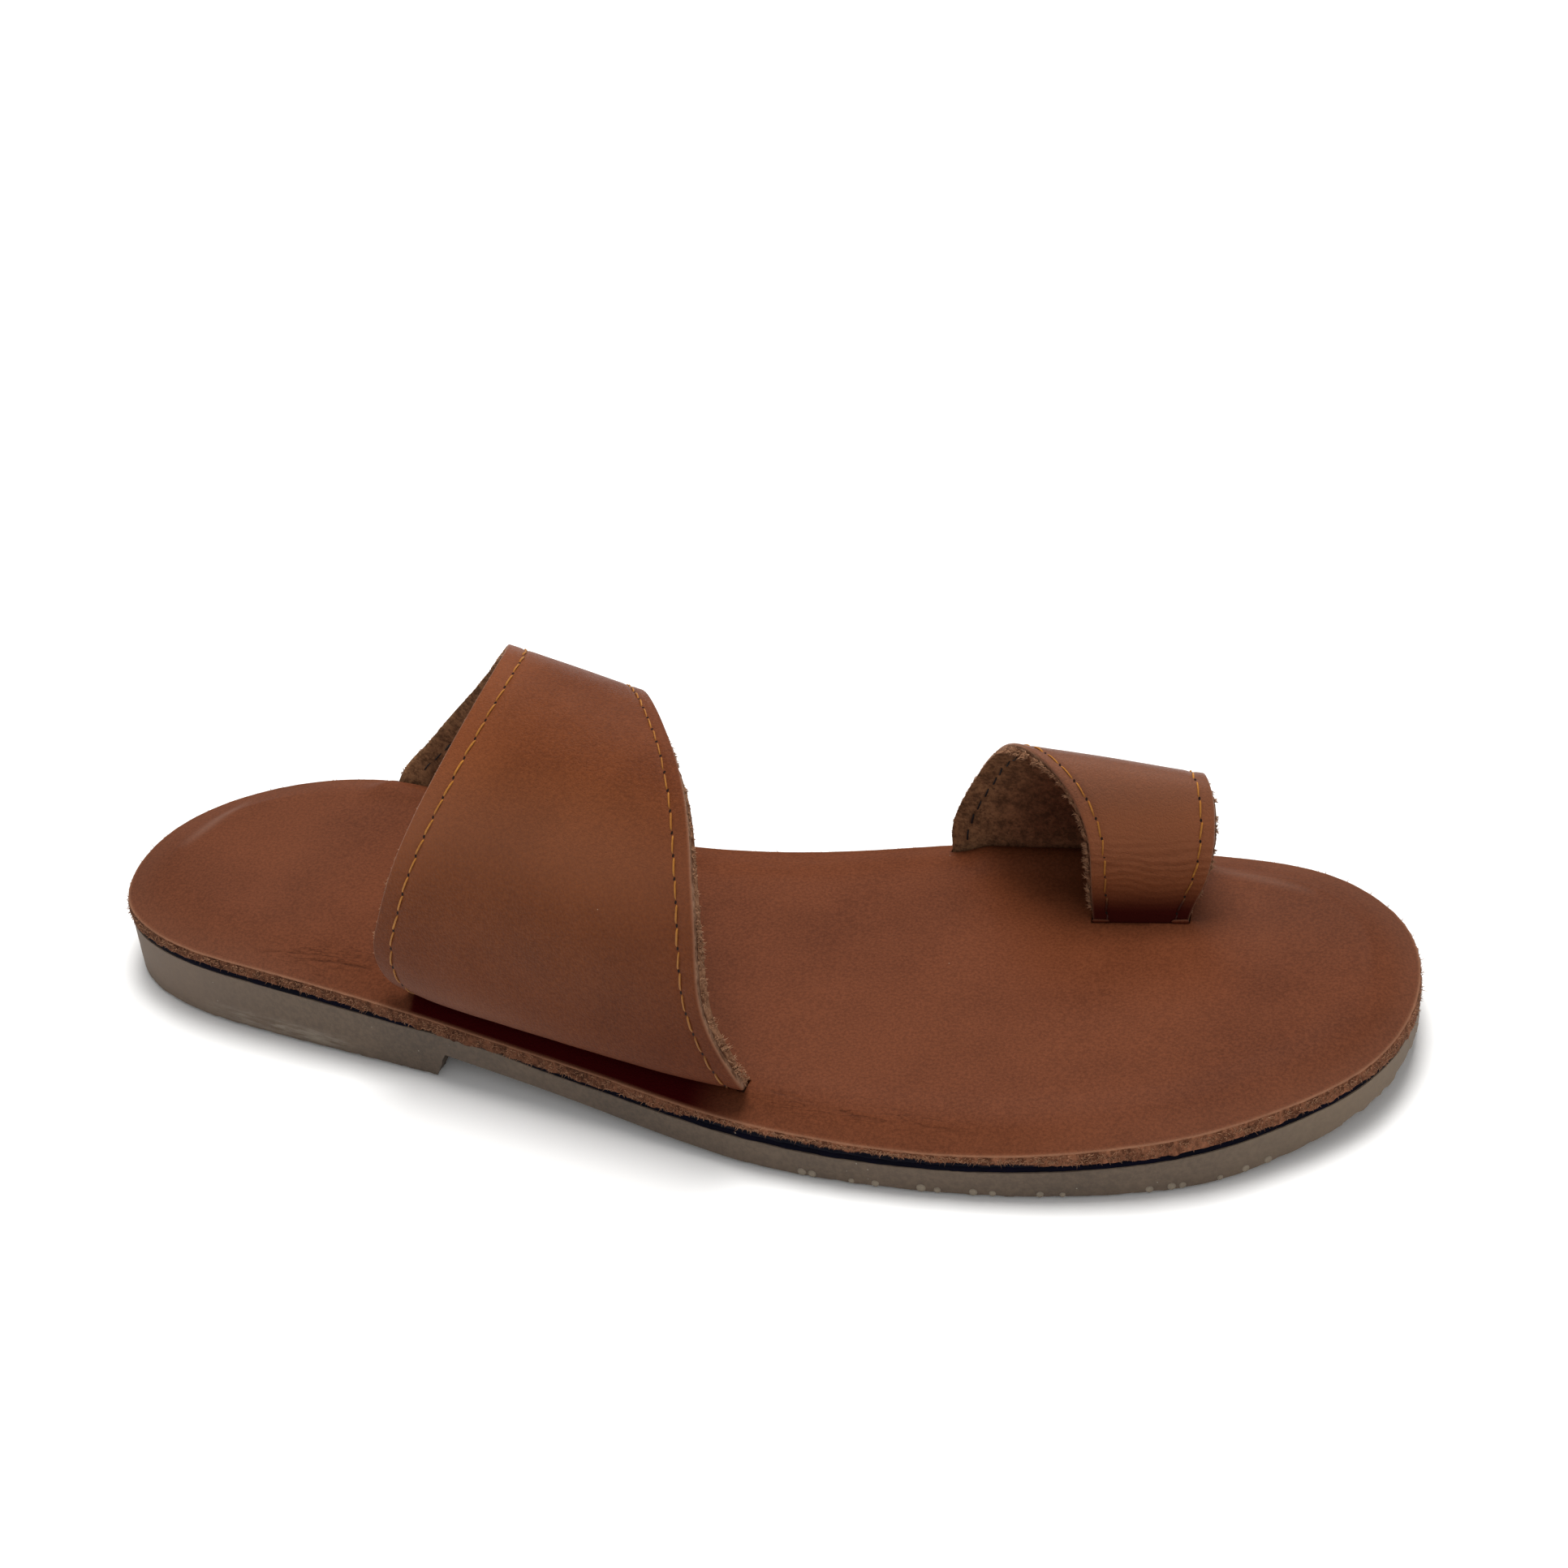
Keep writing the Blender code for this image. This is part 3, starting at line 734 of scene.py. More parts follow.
def sole_ring(inset, share, height, lift=0.0):
    """One ring of a sole layer: in from the outline, then a share of the way to the middle line."""
    inset = np.broadcast_to(inset, STATIONS)
    ring = RING + INWARD * inset[:, None]
    middle = (ring + np.roll(ring[::-1], 1, axis=0)) / 2.0
    ring = ring + (middle - ring) * share
    return np.column_stack([ring, height(ring[:, 0]) + lift])


def flat_rings(height):
    """The two rings of a layer's flat inside, from the middle line out."""
    return [sole_ring(FLAT_RIM, share, height) for share in (1.0, 0.0)]


def layer_faces(ring_count):
    """Faces of a closed layer whose first and last rings are folded shut along the middle line."""
    quads = grid_quads(ring_count, STATIONS, True)
    half = STATIONS // 2
    number = np.arange(STATIONS)
    folded = np.clip(np.minimum(number, STATIONS - number), 1, half - 1)
    shut = np.arange(ring_count * STATIONS)
    shut[:STATIONS] = folded
    shut[-STATIONS:] = (ring_count - 1) * STATIONS + folded
    return [tuple(dict.fromkeys(face)) for face in shut[quads].tolist()]


def used_only(vertices, faces):
    """Drop the points that no face uses."""
    used = np.unique(np.concatenate([np.array(face) for face in faces]))
    renumbered = np.full(len(vertices), -1)
    renumbered[used] = np.arange(len(used))
    return vertices[used], [tuple(renumbered[list(face)]) for face in faces]


def sole_layer(name, rings, materials, bands=None):
    """A layer of the sole from its rings. The bands between them may name which material each takes."""
    vertices, faces = used_only(np.vstack(rings), layer_faces(len(rings)))
    indices = None if bands is None else np.repeat(bands, STATIONS)
    return solid_piece(name, vertices, faces, materials, indices)


def away_from_line(points, start, end, bow):
    """Distance to the side of a bowed line, and the share along it, for points in plan."""
    start, end = np.array(start), np.array(end)
    length = np.linalg.norm(end - start)
    along = (end - start) / length
    t = ((points[:, :2] - start) @ along) / length
    off = (points[:, :2] - start) @ np.array([-along[1], along[0]])
    return off - bow * 4.0 * t * (1.0 - t), t


def crease_relief(points):
    """Soft troughs with raised shoulders, fading out at their ends."""
    total = np.zeros(len(points))
    for number, (_, start, end, bow, width, depth) in enumerate(FOOTBED_CREASES):
        off, t = away_from_line(points, start, end, bow)
        off = off / width + 0.5 * noise(points, 2.6, 40 + number)
        fade = hump(t) * np.clip(0.65 + 0.5 * noise(points, 3.0, 60 + number), 0.0, 1.2)
        shoulders = bell(off, CREASE_SHOULDER, 1.0) + bell(off, -CREASE_SHOULDER, 1.0)
        total += depth * fade * (0.5 * shoulders - bell(off, 0.0, 1.0))
    return total


def lip_relief(points):
    """Leather raised round the slots where the straps come up."""
    total = np.zeros(len(points))
    for _, start, end, height, reach in SLOT_LIPS:
        start, end = np.array(start), np.array(end)
        along = end - start
        t = np.clip(((points[:, :2] - start) @ along) / (along @ along), 0.0, 1.0)
        away = np.linalg.norm(points[:, :2] - start - t[:, None] * along, axis=1)
        total += height * bell(away, 0.0, reach)
    return total


def cut_edge_rings(drop):
    """Rings of the footbed's raw edge, ragged, and hanging over the dark layer at its foot."""
    hang = edge_hang(FLAT_RING)
    scallops = uneven(FLAT_RING, EDGE_SCALLOPS)
    sag = np.maximum(hang + scallops * smooth_step(hang, -0.5, 0.1), 0.0)
    rings = []
    for rise in np.linspace(0.0, 1.0, CUT_RINGS):
        rough = uneven(FLAT_RING + UP * (2.2 * rise), EDGE_ROUGHNESS)
        lift = rise * (LEATHER_EDGE - LEATHER_ROUND - drop) - sag * (1.0 - rise) ** 2
        rings.append(sole_ring(rough - EDGE_FLARE * (1.0 - rise), 0.0, footbed_under, lift))
    return rings


def rolled_rim_rings(drop):
    """Rings where the raw edge turns into the footbed's top."""
    wave = uneven(FLAT_RING, RIM_WAVES)
    rings = []
    for turn in np.radians((30.0, 60.0, 90.0)):
        inset = LEATHER_ROUND * (1.0 - np.cos(turn)) + wave * np.cos(turn)
        fall = drop + LEATHER_ROUND * (1.0 - np.sin(turn))
        rings.append(sole_ring(inset, 0.0, leather_edge, -fall))
    return rings


def padded_rings():
    """Rings of the footbed's top, close together along the edge and then in to the middle line."""
    insets = np.arange(LEATHER_ROUND + RING_STEP, EDGE_BAND, RING_STEP)
    rings = [sole_ring(inset, 0.0, leather_edge) for inset in insets]
    rings += [sole_ring(EDGE_BAND, share, leather_edge) for share in np.linspace(0.0, 1.0, INNER_RINGS)]
    for ring in rings:
        inset = edge_distance(ring) - LEATHER_ROUND
        ease = smooth_step(inset, 0.0, 2.0)
        lift = crease_relief(ring) + lip_relief(ring) * ease + uneven(ring, FOOTBED_WAVES) * ease
        sunk = rim_drop(ring) * (1.0 - smooth_step(inset, 0.0, RIM_REACH))
        ring[:, 2] += pad_height(ring, inset) + lift - sunk
    return rings


def build_footbed(materials):
    """Padded leather footbed with a raw cut edge, creases and slots for the straps."""
    drop = rim_drop(FLAT_RING)
    under = flat_rings(footbed_under) + [sole_ring(0.5, 0.0, footbed_under)]
    cut = cut_edge_rings(drop)
    top = rolled_rim_rings(drop) + padded_rings()
    bands = [0] * (len(under) - 1) + [1] * (len(cut) + 1) + [0] * (len(top) - 1)
    bed = sole_layer("footbed_leather", under + cut + top, materials, bands)
    carve(bed, [slot_cutter(strap, foot) for strap in STRAPS for foot in (0, 1)])
    paint_footbed(bed)
    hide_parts("footbed")


def paint_footbed(bed):
    """Values that the leather and its cut edge read."""
    points = points_of(bed)
    x, y, z = points.T
    inset = edge_distance(points)
    high = z > leather_edge(x) - 0.9 - rim_drop(points)
    paint(bed, "rim", np.where(high, bell(inset, 0.0, 0.34), 0.0))
    # painted shadow under the instep strap's lateral leg
    paint(bed, "shade", strap_painted_shadow(points) * smooth_step(inset, 0.3, 0.8))
    # painted shade in the footbed's creases
    paint(bed, "fold", np.clip(-crease_relief(points) / 0.1, 0.0, 1.0) * (inset < 9.0) * (y < 0.0))
    crinkle = np.zeros(len(points))
    for _, middle_x, middle_y, half_length, half_width in CRINKLES:
        away = ((x - middle_x) / half_length) ** 2 + ((y - middle_y) / half_width) ** 2
        crinkle = np.maximum(crinkle, np.exp(-away))
    paint(bed, "crinkle", crinkle * (inset > 0.8))
    rolled = bell(inset, 0.0, 5.0)
    # painted sheen and painted highlights on the footbed
    paint(bed, "painted_sheen", footbed_painted_sheen(points, rolled))
    paint(bed, "rolled", rolled)
    hang = edge_hang(points)
    line = footbed_under(x) - hang + uneven(points, GLUE_WAVES)
    paint(bed, "glue", smooth_step(line - z, -0.12, 0.12) * smooth_step(-hang, 0.1, 0.4))


def strap_painted_shadow(points):
    """Painted shadow: a dark patch on the footbed under the instep strap's lateral leg."""
    x, y, _ = points.T
    _, rear, front = INSTEP_ROWS[0]
    slot_y = np.interp(x, (rear[0], front[0]), (rear[1], front[1]))
    painted_shadow = smooth_step(x + uneven(points, SHADOW_EDGE_WAVES), -54.6, -53.4)
    painted_shadow = painted_shadow * (1.0 - 0.9 * smooth_step(x, 3.0, 14.0)) * (1.0 - smooth_step(x, 12.0, 14.5))
    return painted_shadow * smooth_step(slot_y - y, -3.0, -1.0) * (y < 0.0)


def footbed_painted_sheen(points, rolled):
    """How much painted sheen the footbed's leather takes: at the toe, heel and rolled rim, and in bright
    streaks of painted highlight.
    """
    x, y, _ = points.T
    toe = smooth_step(x, 60.0, 100.0)
    heel = smooth_step(-x, 60.0, 95.0)
    painted_sheen = 0.02 + 0.08 * toe * smooth_step(y, 0.0, 35.0) + 0.07 * heel
    for _, start, end, bow, width, strength in FOOTBED_GLINTS:
        off, t = away_from_line(points, start, end, bow)
        painted_sheen += strength * bell(off, 0.0, width) * hump(t)
    painted_sheen += rolled * (0.08 + 0.09 * toe + 0.05 * heel)
    return painted_sheen


def slot_cutter(strap, foot):
    """What a strap's leg clears as it passes through the footbed."""
    shares = np.linspace(0.0, SLOT_SHARE, 14) if foot == 0 else np.linspace(1.0 - SLOT_SHARE, 1.0, 14)
    columns = np.linspace(0.0, 1.0, 40)
    margin = SLOT_GAP * (2.0 * columns - 1.0)
    sides = []
    for depth in (-SLOT_GAP, strap.wall + SLOT_GAP):
        side, _, _ = strap_points(strap, shares, columns, margin, depth)
        side[-foot, :, 2] -= SLOT_DEPTH
        sides.append(side)
    return slab(strap.name + "_slot", *sides)


def build_midsole(material):
    """Thin dark layer between the leather and the rubber, lying a little back from the edge."""
    inset = DARK_INSET + uneven(FLAT_RING, DARK_LAYER_WAVES) + LIP_CLEARANCE * rubber_lip(RING[:, 0])
    rings = flat_rings(rubber_top)
    for rise in (0.0, 0.35, 0.7, 1.0):
        bulge = DARK_BULGE * math.sin(math.pi * rise)
        rings.append(sole_ring(inset - bulge, 0.0, rubber_top, DARK_BAND * rise))
    rings += flat_rings(footbed_under)[::-1]
    layer = sole_layer("midsole_layer", rings, [material])
    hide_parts("midsole")


def edge_nicks():
    """How far the rubber's lower edge is nicked: a little all round, and in clumps at the toe."""
    nicks = 0.22 * np.maximum(noise(FLAT_RING, 1.3, 21), 0.0) + 0.1 * noise(FLAT_RING, 3.0, 22)
    clumps = smooth_step(noise(FLAT_RING, 2.6, 25), -0.1, 0.15) * (0.6 + 0.4 * noise(FLAT_RING, 1.2, 26))
    return nicks + 1.1 * smooth_step(RING[:, 0], 110.0, 120.0) * clumps


def build_outsole(material):
    """Rubber outsole with a trimmed side, a ragged lower edge, a heel breast and a hollow shank."""
    nicks = edge_nicks()
    rings = flat_rings(tread_base) + [sole_ring(SIDE_ROUND, 0.0, tread_base, nicks * 0.5)]
    for rise in np.linspace(0.0, 1.0, SIDE_RINGS):
        trim = uneven(FLAT_RING + UP * (8.0 * rise), RUBBER_TRIM)

        def side(x, rise=rise):
            low = tread_base(x) + SIDE_FOOT + nicks * (1.0 - rise)
            return low + (rubber_top(x) + rubber_lip(x) - SIDE_TOP - low) * rise

        rings.append(sole_ring(trim + 0.04, 0.0, side))
    rings += [
        sole_ring(0.2, 0.0, lambda x: rubber_top(x) + rubber_lip(x)),
        sole_ring(SIDE_ROUND, 0.0, lambda x: rubber_top(x) + rubber_lip(x) * 0.9),
        sole_ring(0.4, 0.0, rubber_top),
    ]
    rings += flat_rings(rubber_top)[::-1]
    sole = sole_layer("outsole_rubber", rings, [material])
    carve(sole, [shank_cutter()])
    sole.data.set_sharp_from_angle(angle=0.7)
    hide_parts("outsole")


def shank_cutter():
    """The hollow between the heel breast and the ball, ragged on the breast's edge."""
    lift = np.linspace(0.0, 1.0, 10)
    breast = np.column_stack([BREAST_FOOT_X + (BREAST_TOP_X - BREAST_FOOT_X) * lift, SHANK_RISE * lift])
    t = np.linspace(0.0, 1.0, 48)[1:]
    arch_x = BREAST_TOP_X + (SHANK_END_X - BREAST_TOP_X) * t
    upper = np.vstack([breast, np.column_stack([arch_x, SHANK_RISE * (1.0 - t) ** SHANK_FALL])])
    sides = np.linspace(-WIDTH, WIDTH, 260)
    top = np.array([[(x, y, z) for y in sides] for x, z in upper])
    below = top.copy()
    below[:, :, 2] = -3.0
    top[:len(lift), :, 0] += uneven(top, BREAST_ROUGHNESS)[:len(lift)]
    below[0, :, 0] -= 0.6
    return slab("shank_hollow", top, below)


def stud_points(middle, ways, radius, outward, rings):
    """Points of round studs: rings at a share of the radius and a height out of the rubber."""
    stack = []
    for share, stand in rings:
        stack.append(middle[:, None] + ways * (radius * share)[:, None, None] + outward[:, None] * stand)
    return np.stack(stack, axis=1).reshape(-1, 3)


def build_cut_studs(material):
    """Pale studs at the lower edge of the forefoot, which the trimmed side cuts through."""
    random = np.random.default_rng(27)
    stations = np.flatnonzero((RING[:, 0] > SHANK_END_X - 8.0) & (RING[:, 0] < 108.0))[::9]
    stations = stations[random.uniform(size=len(stations)) < 0.85]
    stations = stations + random.integers(-3, 4, len(stations))
    radius = random.uniform(*CUT_STUD_RADII, len(stations))
    middle = np.column_stack([RING[stations], tread_base(RING[stations, 0]) + SIDE_FOOT + radius * 0.8])
    outward, along = edge_ways(stations)
    cosine, sine = circle(CUT_STUD_SIDES)
    ways = cosine[:, None] * -along[:, None, :] + sine[:, None] * UP
    vertices = stud_points(middle, ways, radius, outward, CUT_STUD_RINGS)
    faces = stack_faces(len(CUT_STUD_RINGS), CUT_STUD_SIDES, len(stations), False)
    solid_piece("outsole_cut_studs", vertices, faces, [material])


def build_tread(material):
    """Low round studs under the heel and the forefoot, in staggered rows."""
    spots = []
    for number, y in enumerate(np.arange(-WIDTH / 2.0, WIDTH / 2.0, STUD_PITCH * 0.866)):
        xs = np.arange(-LENGTH / 2.0, LENGTH / 2.0, STUD_PITCH) + (number % 2) * STUD_PITCH / 2.0
        spots.append(np.column_stack([xs, np.full(len(xs), y)]))
    spots = np.vstack(spots)
    nearest = [RING_TREE.find((x, y, 0.0)) for x, y in spots.tolist()]
    inward = np.array([INWARD[found[1]] for found in nearest])
    inset = np.einsum("ij,ij->i", spots - np.array([found[0][:2] for found in nearest]), inward)
    on_ground = (spots[:, 0] < BREAST_FOOT_X - 1.6) | (spots[:, 0] > SHANK_END_X + 1.0)
    spots = spots[(inset > STUD_MARGIN) & on_ground]
    middle = np.column_stack([spots, tread_base(spots[:, 0])])
    ways = np.column_stack([*circle(STUD_SIDES), np.zeros(STUD_SIDES)])
    down = np.broadcast_to(-UP, middle.shape)
    vertices = stud_points(middle, ways, np.full(len(spots), STUD_RADIUS), down, STUD_RINGS)
    faces = stack_faces(len(STUD_RINGS), STUD_SIDES, len(spots), False)
    solid_piece("outsole_tread", vertices, [face[::-1] for face in faces], [material])


# What the leather of each strap shows: painted shade, painted light, painted sheen and wrinkled places

def lateral_share(points):
    """1 on a strap's lateral leg, nought on its medial leg."""
    return smooth_step(-points[..., 1], -30.0, -24.0)


def instep_looks(grid):
    """Painted shade at the instep strap's feet, front and top; painted light and painted sheen on its rear
    and upper parts.
    """
    x, y, z = np.moveaxis(grid, -1, 0)
    height = above_edge(grid)
    outer = y < 0.0
    shade = 0.2 * bell(height, 9.0, 11.0) + 0.17 * smooth_step(x, -18.0, 10.0)
    shade = shade + 0.04 * (1.0 - smooth_step(x, -54.0, -38.0)) + 0.12 * smooth_step(z, 61.0, 65.0)
    foot = 0.3 * fade_above(height, 3.0, 2.0)
    from_rear = np.linalg.norm(grid - grid[:, :1], axis=-1)
    # the pull layer is painted light: along the rear edge, at the rear corner and on the upper wall
    rear = 0.35 * bell(from_rear, 0.0, 9.0) * smooth_step(z, 34.0, 46.0)
    corner = 0.2 * fade_above(height, 4.0, 8.0) * outer * (1.0 - smooth_step(x, -50.0, -25.0))
    # painted sheen low on the rear corner and on the upper wall
    sheen_corner = 0.34 * fade_above(height, 4.0, 6.0) * (1.0 - smooth_step(x, -48.0, -12.0))
    return {
        "shade": lateral_share(grid) * (foot + shade),
        "pull": rear + corner + 0.26 * bell(z, 52.0, 9.0),
        "painted_sheen": (sheen_corner + 0.13 * bell(z, 54.0, 8.0)) * outer,
        "crinkle": np.zeros(grid.shape[:2]),
    }


def toe_looks(grid):
    """Painted shade at the toe loop's foot, painted light on its lateral wall, painted sheen over its crown,
    and wrinkles low down.
    """
    z = grid[..., 2]
    lateral = lateral_share(grid)
    # the pull layer is painted light on the lateral wall
    pull = 0.6 - 0.4 * smooth_step(z, 34.0, 41.0) + 0.55 * bell(z, 31.0, 8.0)
    return {
        "shade": 0.95 * lateral * fade_above(above_edge(grid), 5.0, 5.0),
        "pull": lateral * pull,
        # painted sheen, strongest over the crown
        "painted_sheen": 0.12 * smooth_step(z, 20.0, 30.0) + 0.22 * smooth_step(z, 34.0, 42.0),
        "crinkle": 0.4 * lateral * bell(z, 25.5, 5.0),
    }


# Straps

def strap_rows(rows, first_lift, last_lift):
    """Fill in the worked-out heights: the first and last two rows are a foot and a mouth."""
    filled = []
    for i, (_, *edges) in enumerate(rows):
        lift = first_lift if i < 2 else last_lift
        is_foot = i in (0, len(rows) - 1)
        points = []
        for x, y, z in edges:
            if z is None:
                z = footbed_under(x) if is_foot else leather_edge(x) + lift
            points.append((x, y, float(z)))
        filled.append(points)
    return np.array(filled)


STRAPS = (
    Strap(
        name="instep_strap",
        rows=strap_rows(INSTEP_ROWS, SIDE_SLOT_LIFT, SIDE_SLOT_LIFT),
        wall=2.4,
        steps=420,
        middle_columns=80,
        seams=(4.0, 3.3),
        proud=(0.5, 0.8),
        sag=2.4,
        wrinkle=0.0,
        hem_fade=0.75,
        hairs=4200,
        front_hairs=0.5,
        looks=instep_looks,
    ),
    Strap(
        name="toe_loop",
        rows=strap_rows(TOE_ROWS, TOE_SLOT_LIFT, SIDE_SLOT_LIFT),
        wall=2.2,
        steps=260,
        middle_columns=40,
        seams=(2.7, 2.6),
        proud=(0.9, 0.2),
        sag=0.0,
        wrinkle=0.1,
        hem_fade=0.0,
        hairs=3000,
        front_hairs=0.22,
        looks=toe_looks,
    ),
)


def strap_points(strap, shares, base, offset, depth):
    """Points in a strap, their outward normals and their distances from its rear edge.
    A column lies at a base share of the way across plus an offset, at a depth in from the outer face."""
    curve = spline(strap.rows.reshape(len(strap.rows), -1), False)
    at = curve(shares)
    way = curve(shares + SHARE_STEP) - curve(shares - SHARE_STEP)
    rear, front = at[:, :3], at[:, 3:]
    width = np.linalg.norm(front - rear, axis=1)[:, None]
    across = (base + offset / width)[:, :, None]
    span = (front - rear)[:, None, :]
    along = way[:, None, :3] * (1.0 - across) + way[:, None, 3:] * across
    face = rear[:, None, :] + span * across
    low = bell(shares, SAG_SHARE, SAG_REACH)[:, None, None]
    face = face + np.array(SAG_WAY) * strap.sag * low * np.clip(1.0 - (2.0 * across - 1.0) ** 4, 0.0, 1.0)
    normal = unit(np.cross(np.broadcast_to(span, along.shape), along))
    depth = np.broadcast_to(depth, face.shape[:2])
    return face - normal * depth[:, :, None], normal, across[:, :, 0] * width


def strap_line(strap, shares, across):
    """Points along a strap's bare outer face, a share of the way across."""
    return strap_points(strap, shares, np.array([across]), 0.0, 0.0)[0][:, 0]


def across_strap(strap, shares):
    """Way across a strap from its rear edge to its front edge."""
    return strap_line(strap, shares, 1.0) - strap_line(strap, shares, 0.0)


def strap_relief(strap, face, from_rear, width):
    """Lift of a strap's outer face: the seams' grooves, soft waves, and wrinkles low on the toe loop."""
    lift = uneven(face, STRAP_WAVES)
    for away in (from_rear - strap.seams[0], width - from_rear - strap.seams[1]):
        lift -= SEAM_DEPTH * bell(away, 0.0, SEAM_WIDTH)
    if strap.wrinkle:
        _, y, z = np.moveaxis(face, -1, 0)
        low = bell(z, 25.0, 7.0) * smooth_step(-y, -30.0, -22.0)
        ripple = np.sin(z * 4.2 + 7.0 * noise(face, (6.0, 6.0, 3.0), 53))
        lift += strap.wrinkle * low * ripple * (0.6 + 0.4 * noise(face, 4.0, 54))
    return lift


def strap_columns(middle):
    """Columns across a strap's outer face, finer along the edges: base share, offset and depth."""
    turn = np.linspace(0.0, math.pi / 2.0, 4)
    rim = np.concatenate([EDGE_ROUND * (1.0 - np.cos(turn)), np.arange(EDGE_ROUND + 0.4, EDGE_ZONE, 0.45)])
    drop = np.concatenate([EDGE_ROUND * (1.0 - np.sin(turn)), np.zeros(len(rim) - len(turn))])
    share = np.linspace(0.0, 1.0, middle)
    base = np.concatenate([np.zeros(len(rim)), share, np.ones(len(rim))])
    offset = np.concatenate([rim, EDGE_ZONE * (1.0 - 2.0 * share), -rim[::-1]])
    depth = np.concatenate([drop, np.zeros(middle), drop[::-1]])
    return base, offset, depth


def strap_shares(strap):
    """Sections along a strap, closer together at its feet."""
    even = np.linspace(0.0, 1.0, strap.steps)
    return (even + (1.0 - np.cos(np.pi * even)) / 2.0) / 2.0


def outer_face(strap, shares, base, offset, depth):
    """The strap's outer face with its relief, and its normals."""
    face, normal, from_rear = strap_points(strap, shares, base, offset, depth)
    width = np.linalg.norm(across_strap(strap, shares), axis=1)[:, None]
    lift = strap_relief(strap, face, from_rear, width)
    return face + normal * lift[:, :, None], normal


def loft(name, grid, materials, raw_columns):
    """A closed strip of leather from sections of points, capped at both ends, with raw edges."""
    steps, columns = grid.shape[:2]
    faces = grid_quads(steps, columns, True).tolist()
    faces.append(list(range(columns)))
    faces.append(list(range(steps * columns - 1, (steps - 1) * columns - 1, -1)))
    raw = np.zeros(columns, int)
    for chosen in raw_columns:
        raw[chosen] = 1
    indices = np.append(np.tile(raw, steps - 1), [0, 0])
    return solid_piece(name, grid.reshape(-1, 3), faces, materials, indices)


def build_strap_leather(strap, materials):
    """Grain leather of a strap with its raw cut edges."""
    shares = strap_shares(strap)
    base, offset, depth = strap_columns(strap.middle_columns)
    top, _ = outer_face(strap, shares, base, offset, depth)
    cut_depth = np.linspace(EDGE_ROUND, GRAIN_LEATHER, CUT_COLUMNS + 1)[1:]
    sides = []
    for edge, depths in ((1.0, cut_depth), (0.0, cut_depth[::-1])):
        cut, _, _ = strap_points(strap, shares, np.full(CUT_COLUMNS, edge), 0.0, depths)
        outward = (edge * 2.0 - 1.0) * unit(across_strap(strap, shares))
        rough = uneven(cut, STRAP_CUT_ROUGHNESS)
        sides.append(cut + outward[:, None, :] * rough[:, :, None])
    under_share = np.linspace(1.0, 0.0, UNDER_COLUMNS + 2)[1:-1]
    under, _, _ = strap_points(strap, shares, under_share, 0.0, GRAIN_LEATHER)
    grid = np.concatenate([top, sides[0], under, sides[1]], axis=1)
    count = top.shape[1]
    raw_columns = slice(count - 1, count - 1 + CUT_COLUMNS), slice(-CUT_COLUMNS, None)
    leather = loft(strap.name + "_leather", grid, materials, raw_columns)
    rim = np.zeros(grid.shape[:2])
    rim[:, :count] = np.clip(depth / EDGE_ROUND * 1.3, 0.0, 1.0)
    paint(leather, "rim", rim)
    for layer, values in strap.looks(grid).items():
        paint(leather, layer, values)
    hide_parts(strap.name)


def full_share(points):
    """How much of its full thickness a lining has, less where it goes into the footbed."""
    return smooth_step(above_edge(points), 2.0, 9.0)


def hem_share(strap, points):
    """How much of a lining's raw edge stands out: less at the feet, and less over the instep strap's top."""
    return full_share(points) * (1.0 - strap.hem_fade * smooth_step(points[:, 2], 36.0, 50.0))


def near_share(shares):
    """How ragged a lining is along its strap: less on the medial leg."""
    return 1.0 - 0.6 * smooth_step(shares, 0.5, 0.6)


def build_strap_lining(strap, materials):
    """Suede lining of a strap, standing a little proud of the leather at the edges."""
    shares = strap_shares(strap)
    outer_depth = GRAIN_LEATHER + 0.04
    span = np.linspace(0.0, 1.0, LINING_INNER_COLUMNS)
    inner_depth = strap.wall + uneven(np.column_stack([span * 30.0, span, span]), LINING_WAVES)
    bevel = np.linspace(0.35, 1.0, CUT_COLUMNS)
    edge_depth = np.linspace(outer_depth + 0.08, strap.wall - 0.12, CUT_COLUMNS)
    outer_base = np.linspace(0.0, 1.0, LINING_OUTER_COLUMNS)
    rear, front = strap.proud
    middle = strap_line(strap, shares, 0.5)
    full = full_share(middle)[:, None]
    stand = hem_share(strap, middle)[:, None]
    columns = []
    from_rear = []
    for base, offset, depth in (
        (outer_base, np.zeros(LINING_OUTER_COLUMNS), outer_depth),
        (np.ones(CUT_COLUMNS), front * bevel, edge_depth),
        (span[::-1], front * span[::-1] - rear * span, inner_depth),
        (np.zeros(CUT_COLUMNS), -rear * bevel[::-1], edge_depth[::-1]),
    ):
        depth = outer_depth + (depth - outer_depth) * (0.4 + 0.6 * full)
        points, _, away = strap_points(strap, shares, base, offset * stand, depth)
        columns.append(points)
        from_rear.append(away)
    forward = unit(across_strap(strap, shares))[:, None, :]
    reach = (0.3 * full + 0.7 * stand) * near_share(shares)[:, None]
    for side, way in ((1, forward), (3, -forward)):
        columns[side] = columns[side] + way * (uneven(columns[side], LINING_RAGS) * reach)[:, :, None]
    first_raw = LINING_OUTER_COLUMNS - 1
    raw_columns = slice(first_raw, first_raw + CUT_COLUMNS + 1), slice(-CUT_COLUMNS - 1, None)
    lining = loft(strap.name + "_lining", np.concatenate(columns, axis=1), materials, raw_columns)
    # painted light along the lining's rear edge
    paint(lining, "lit_rear_band", fade_above(np.concatenate(from_rear, axis=1), 0.0, LIT_BAND_REACH))


# Seams

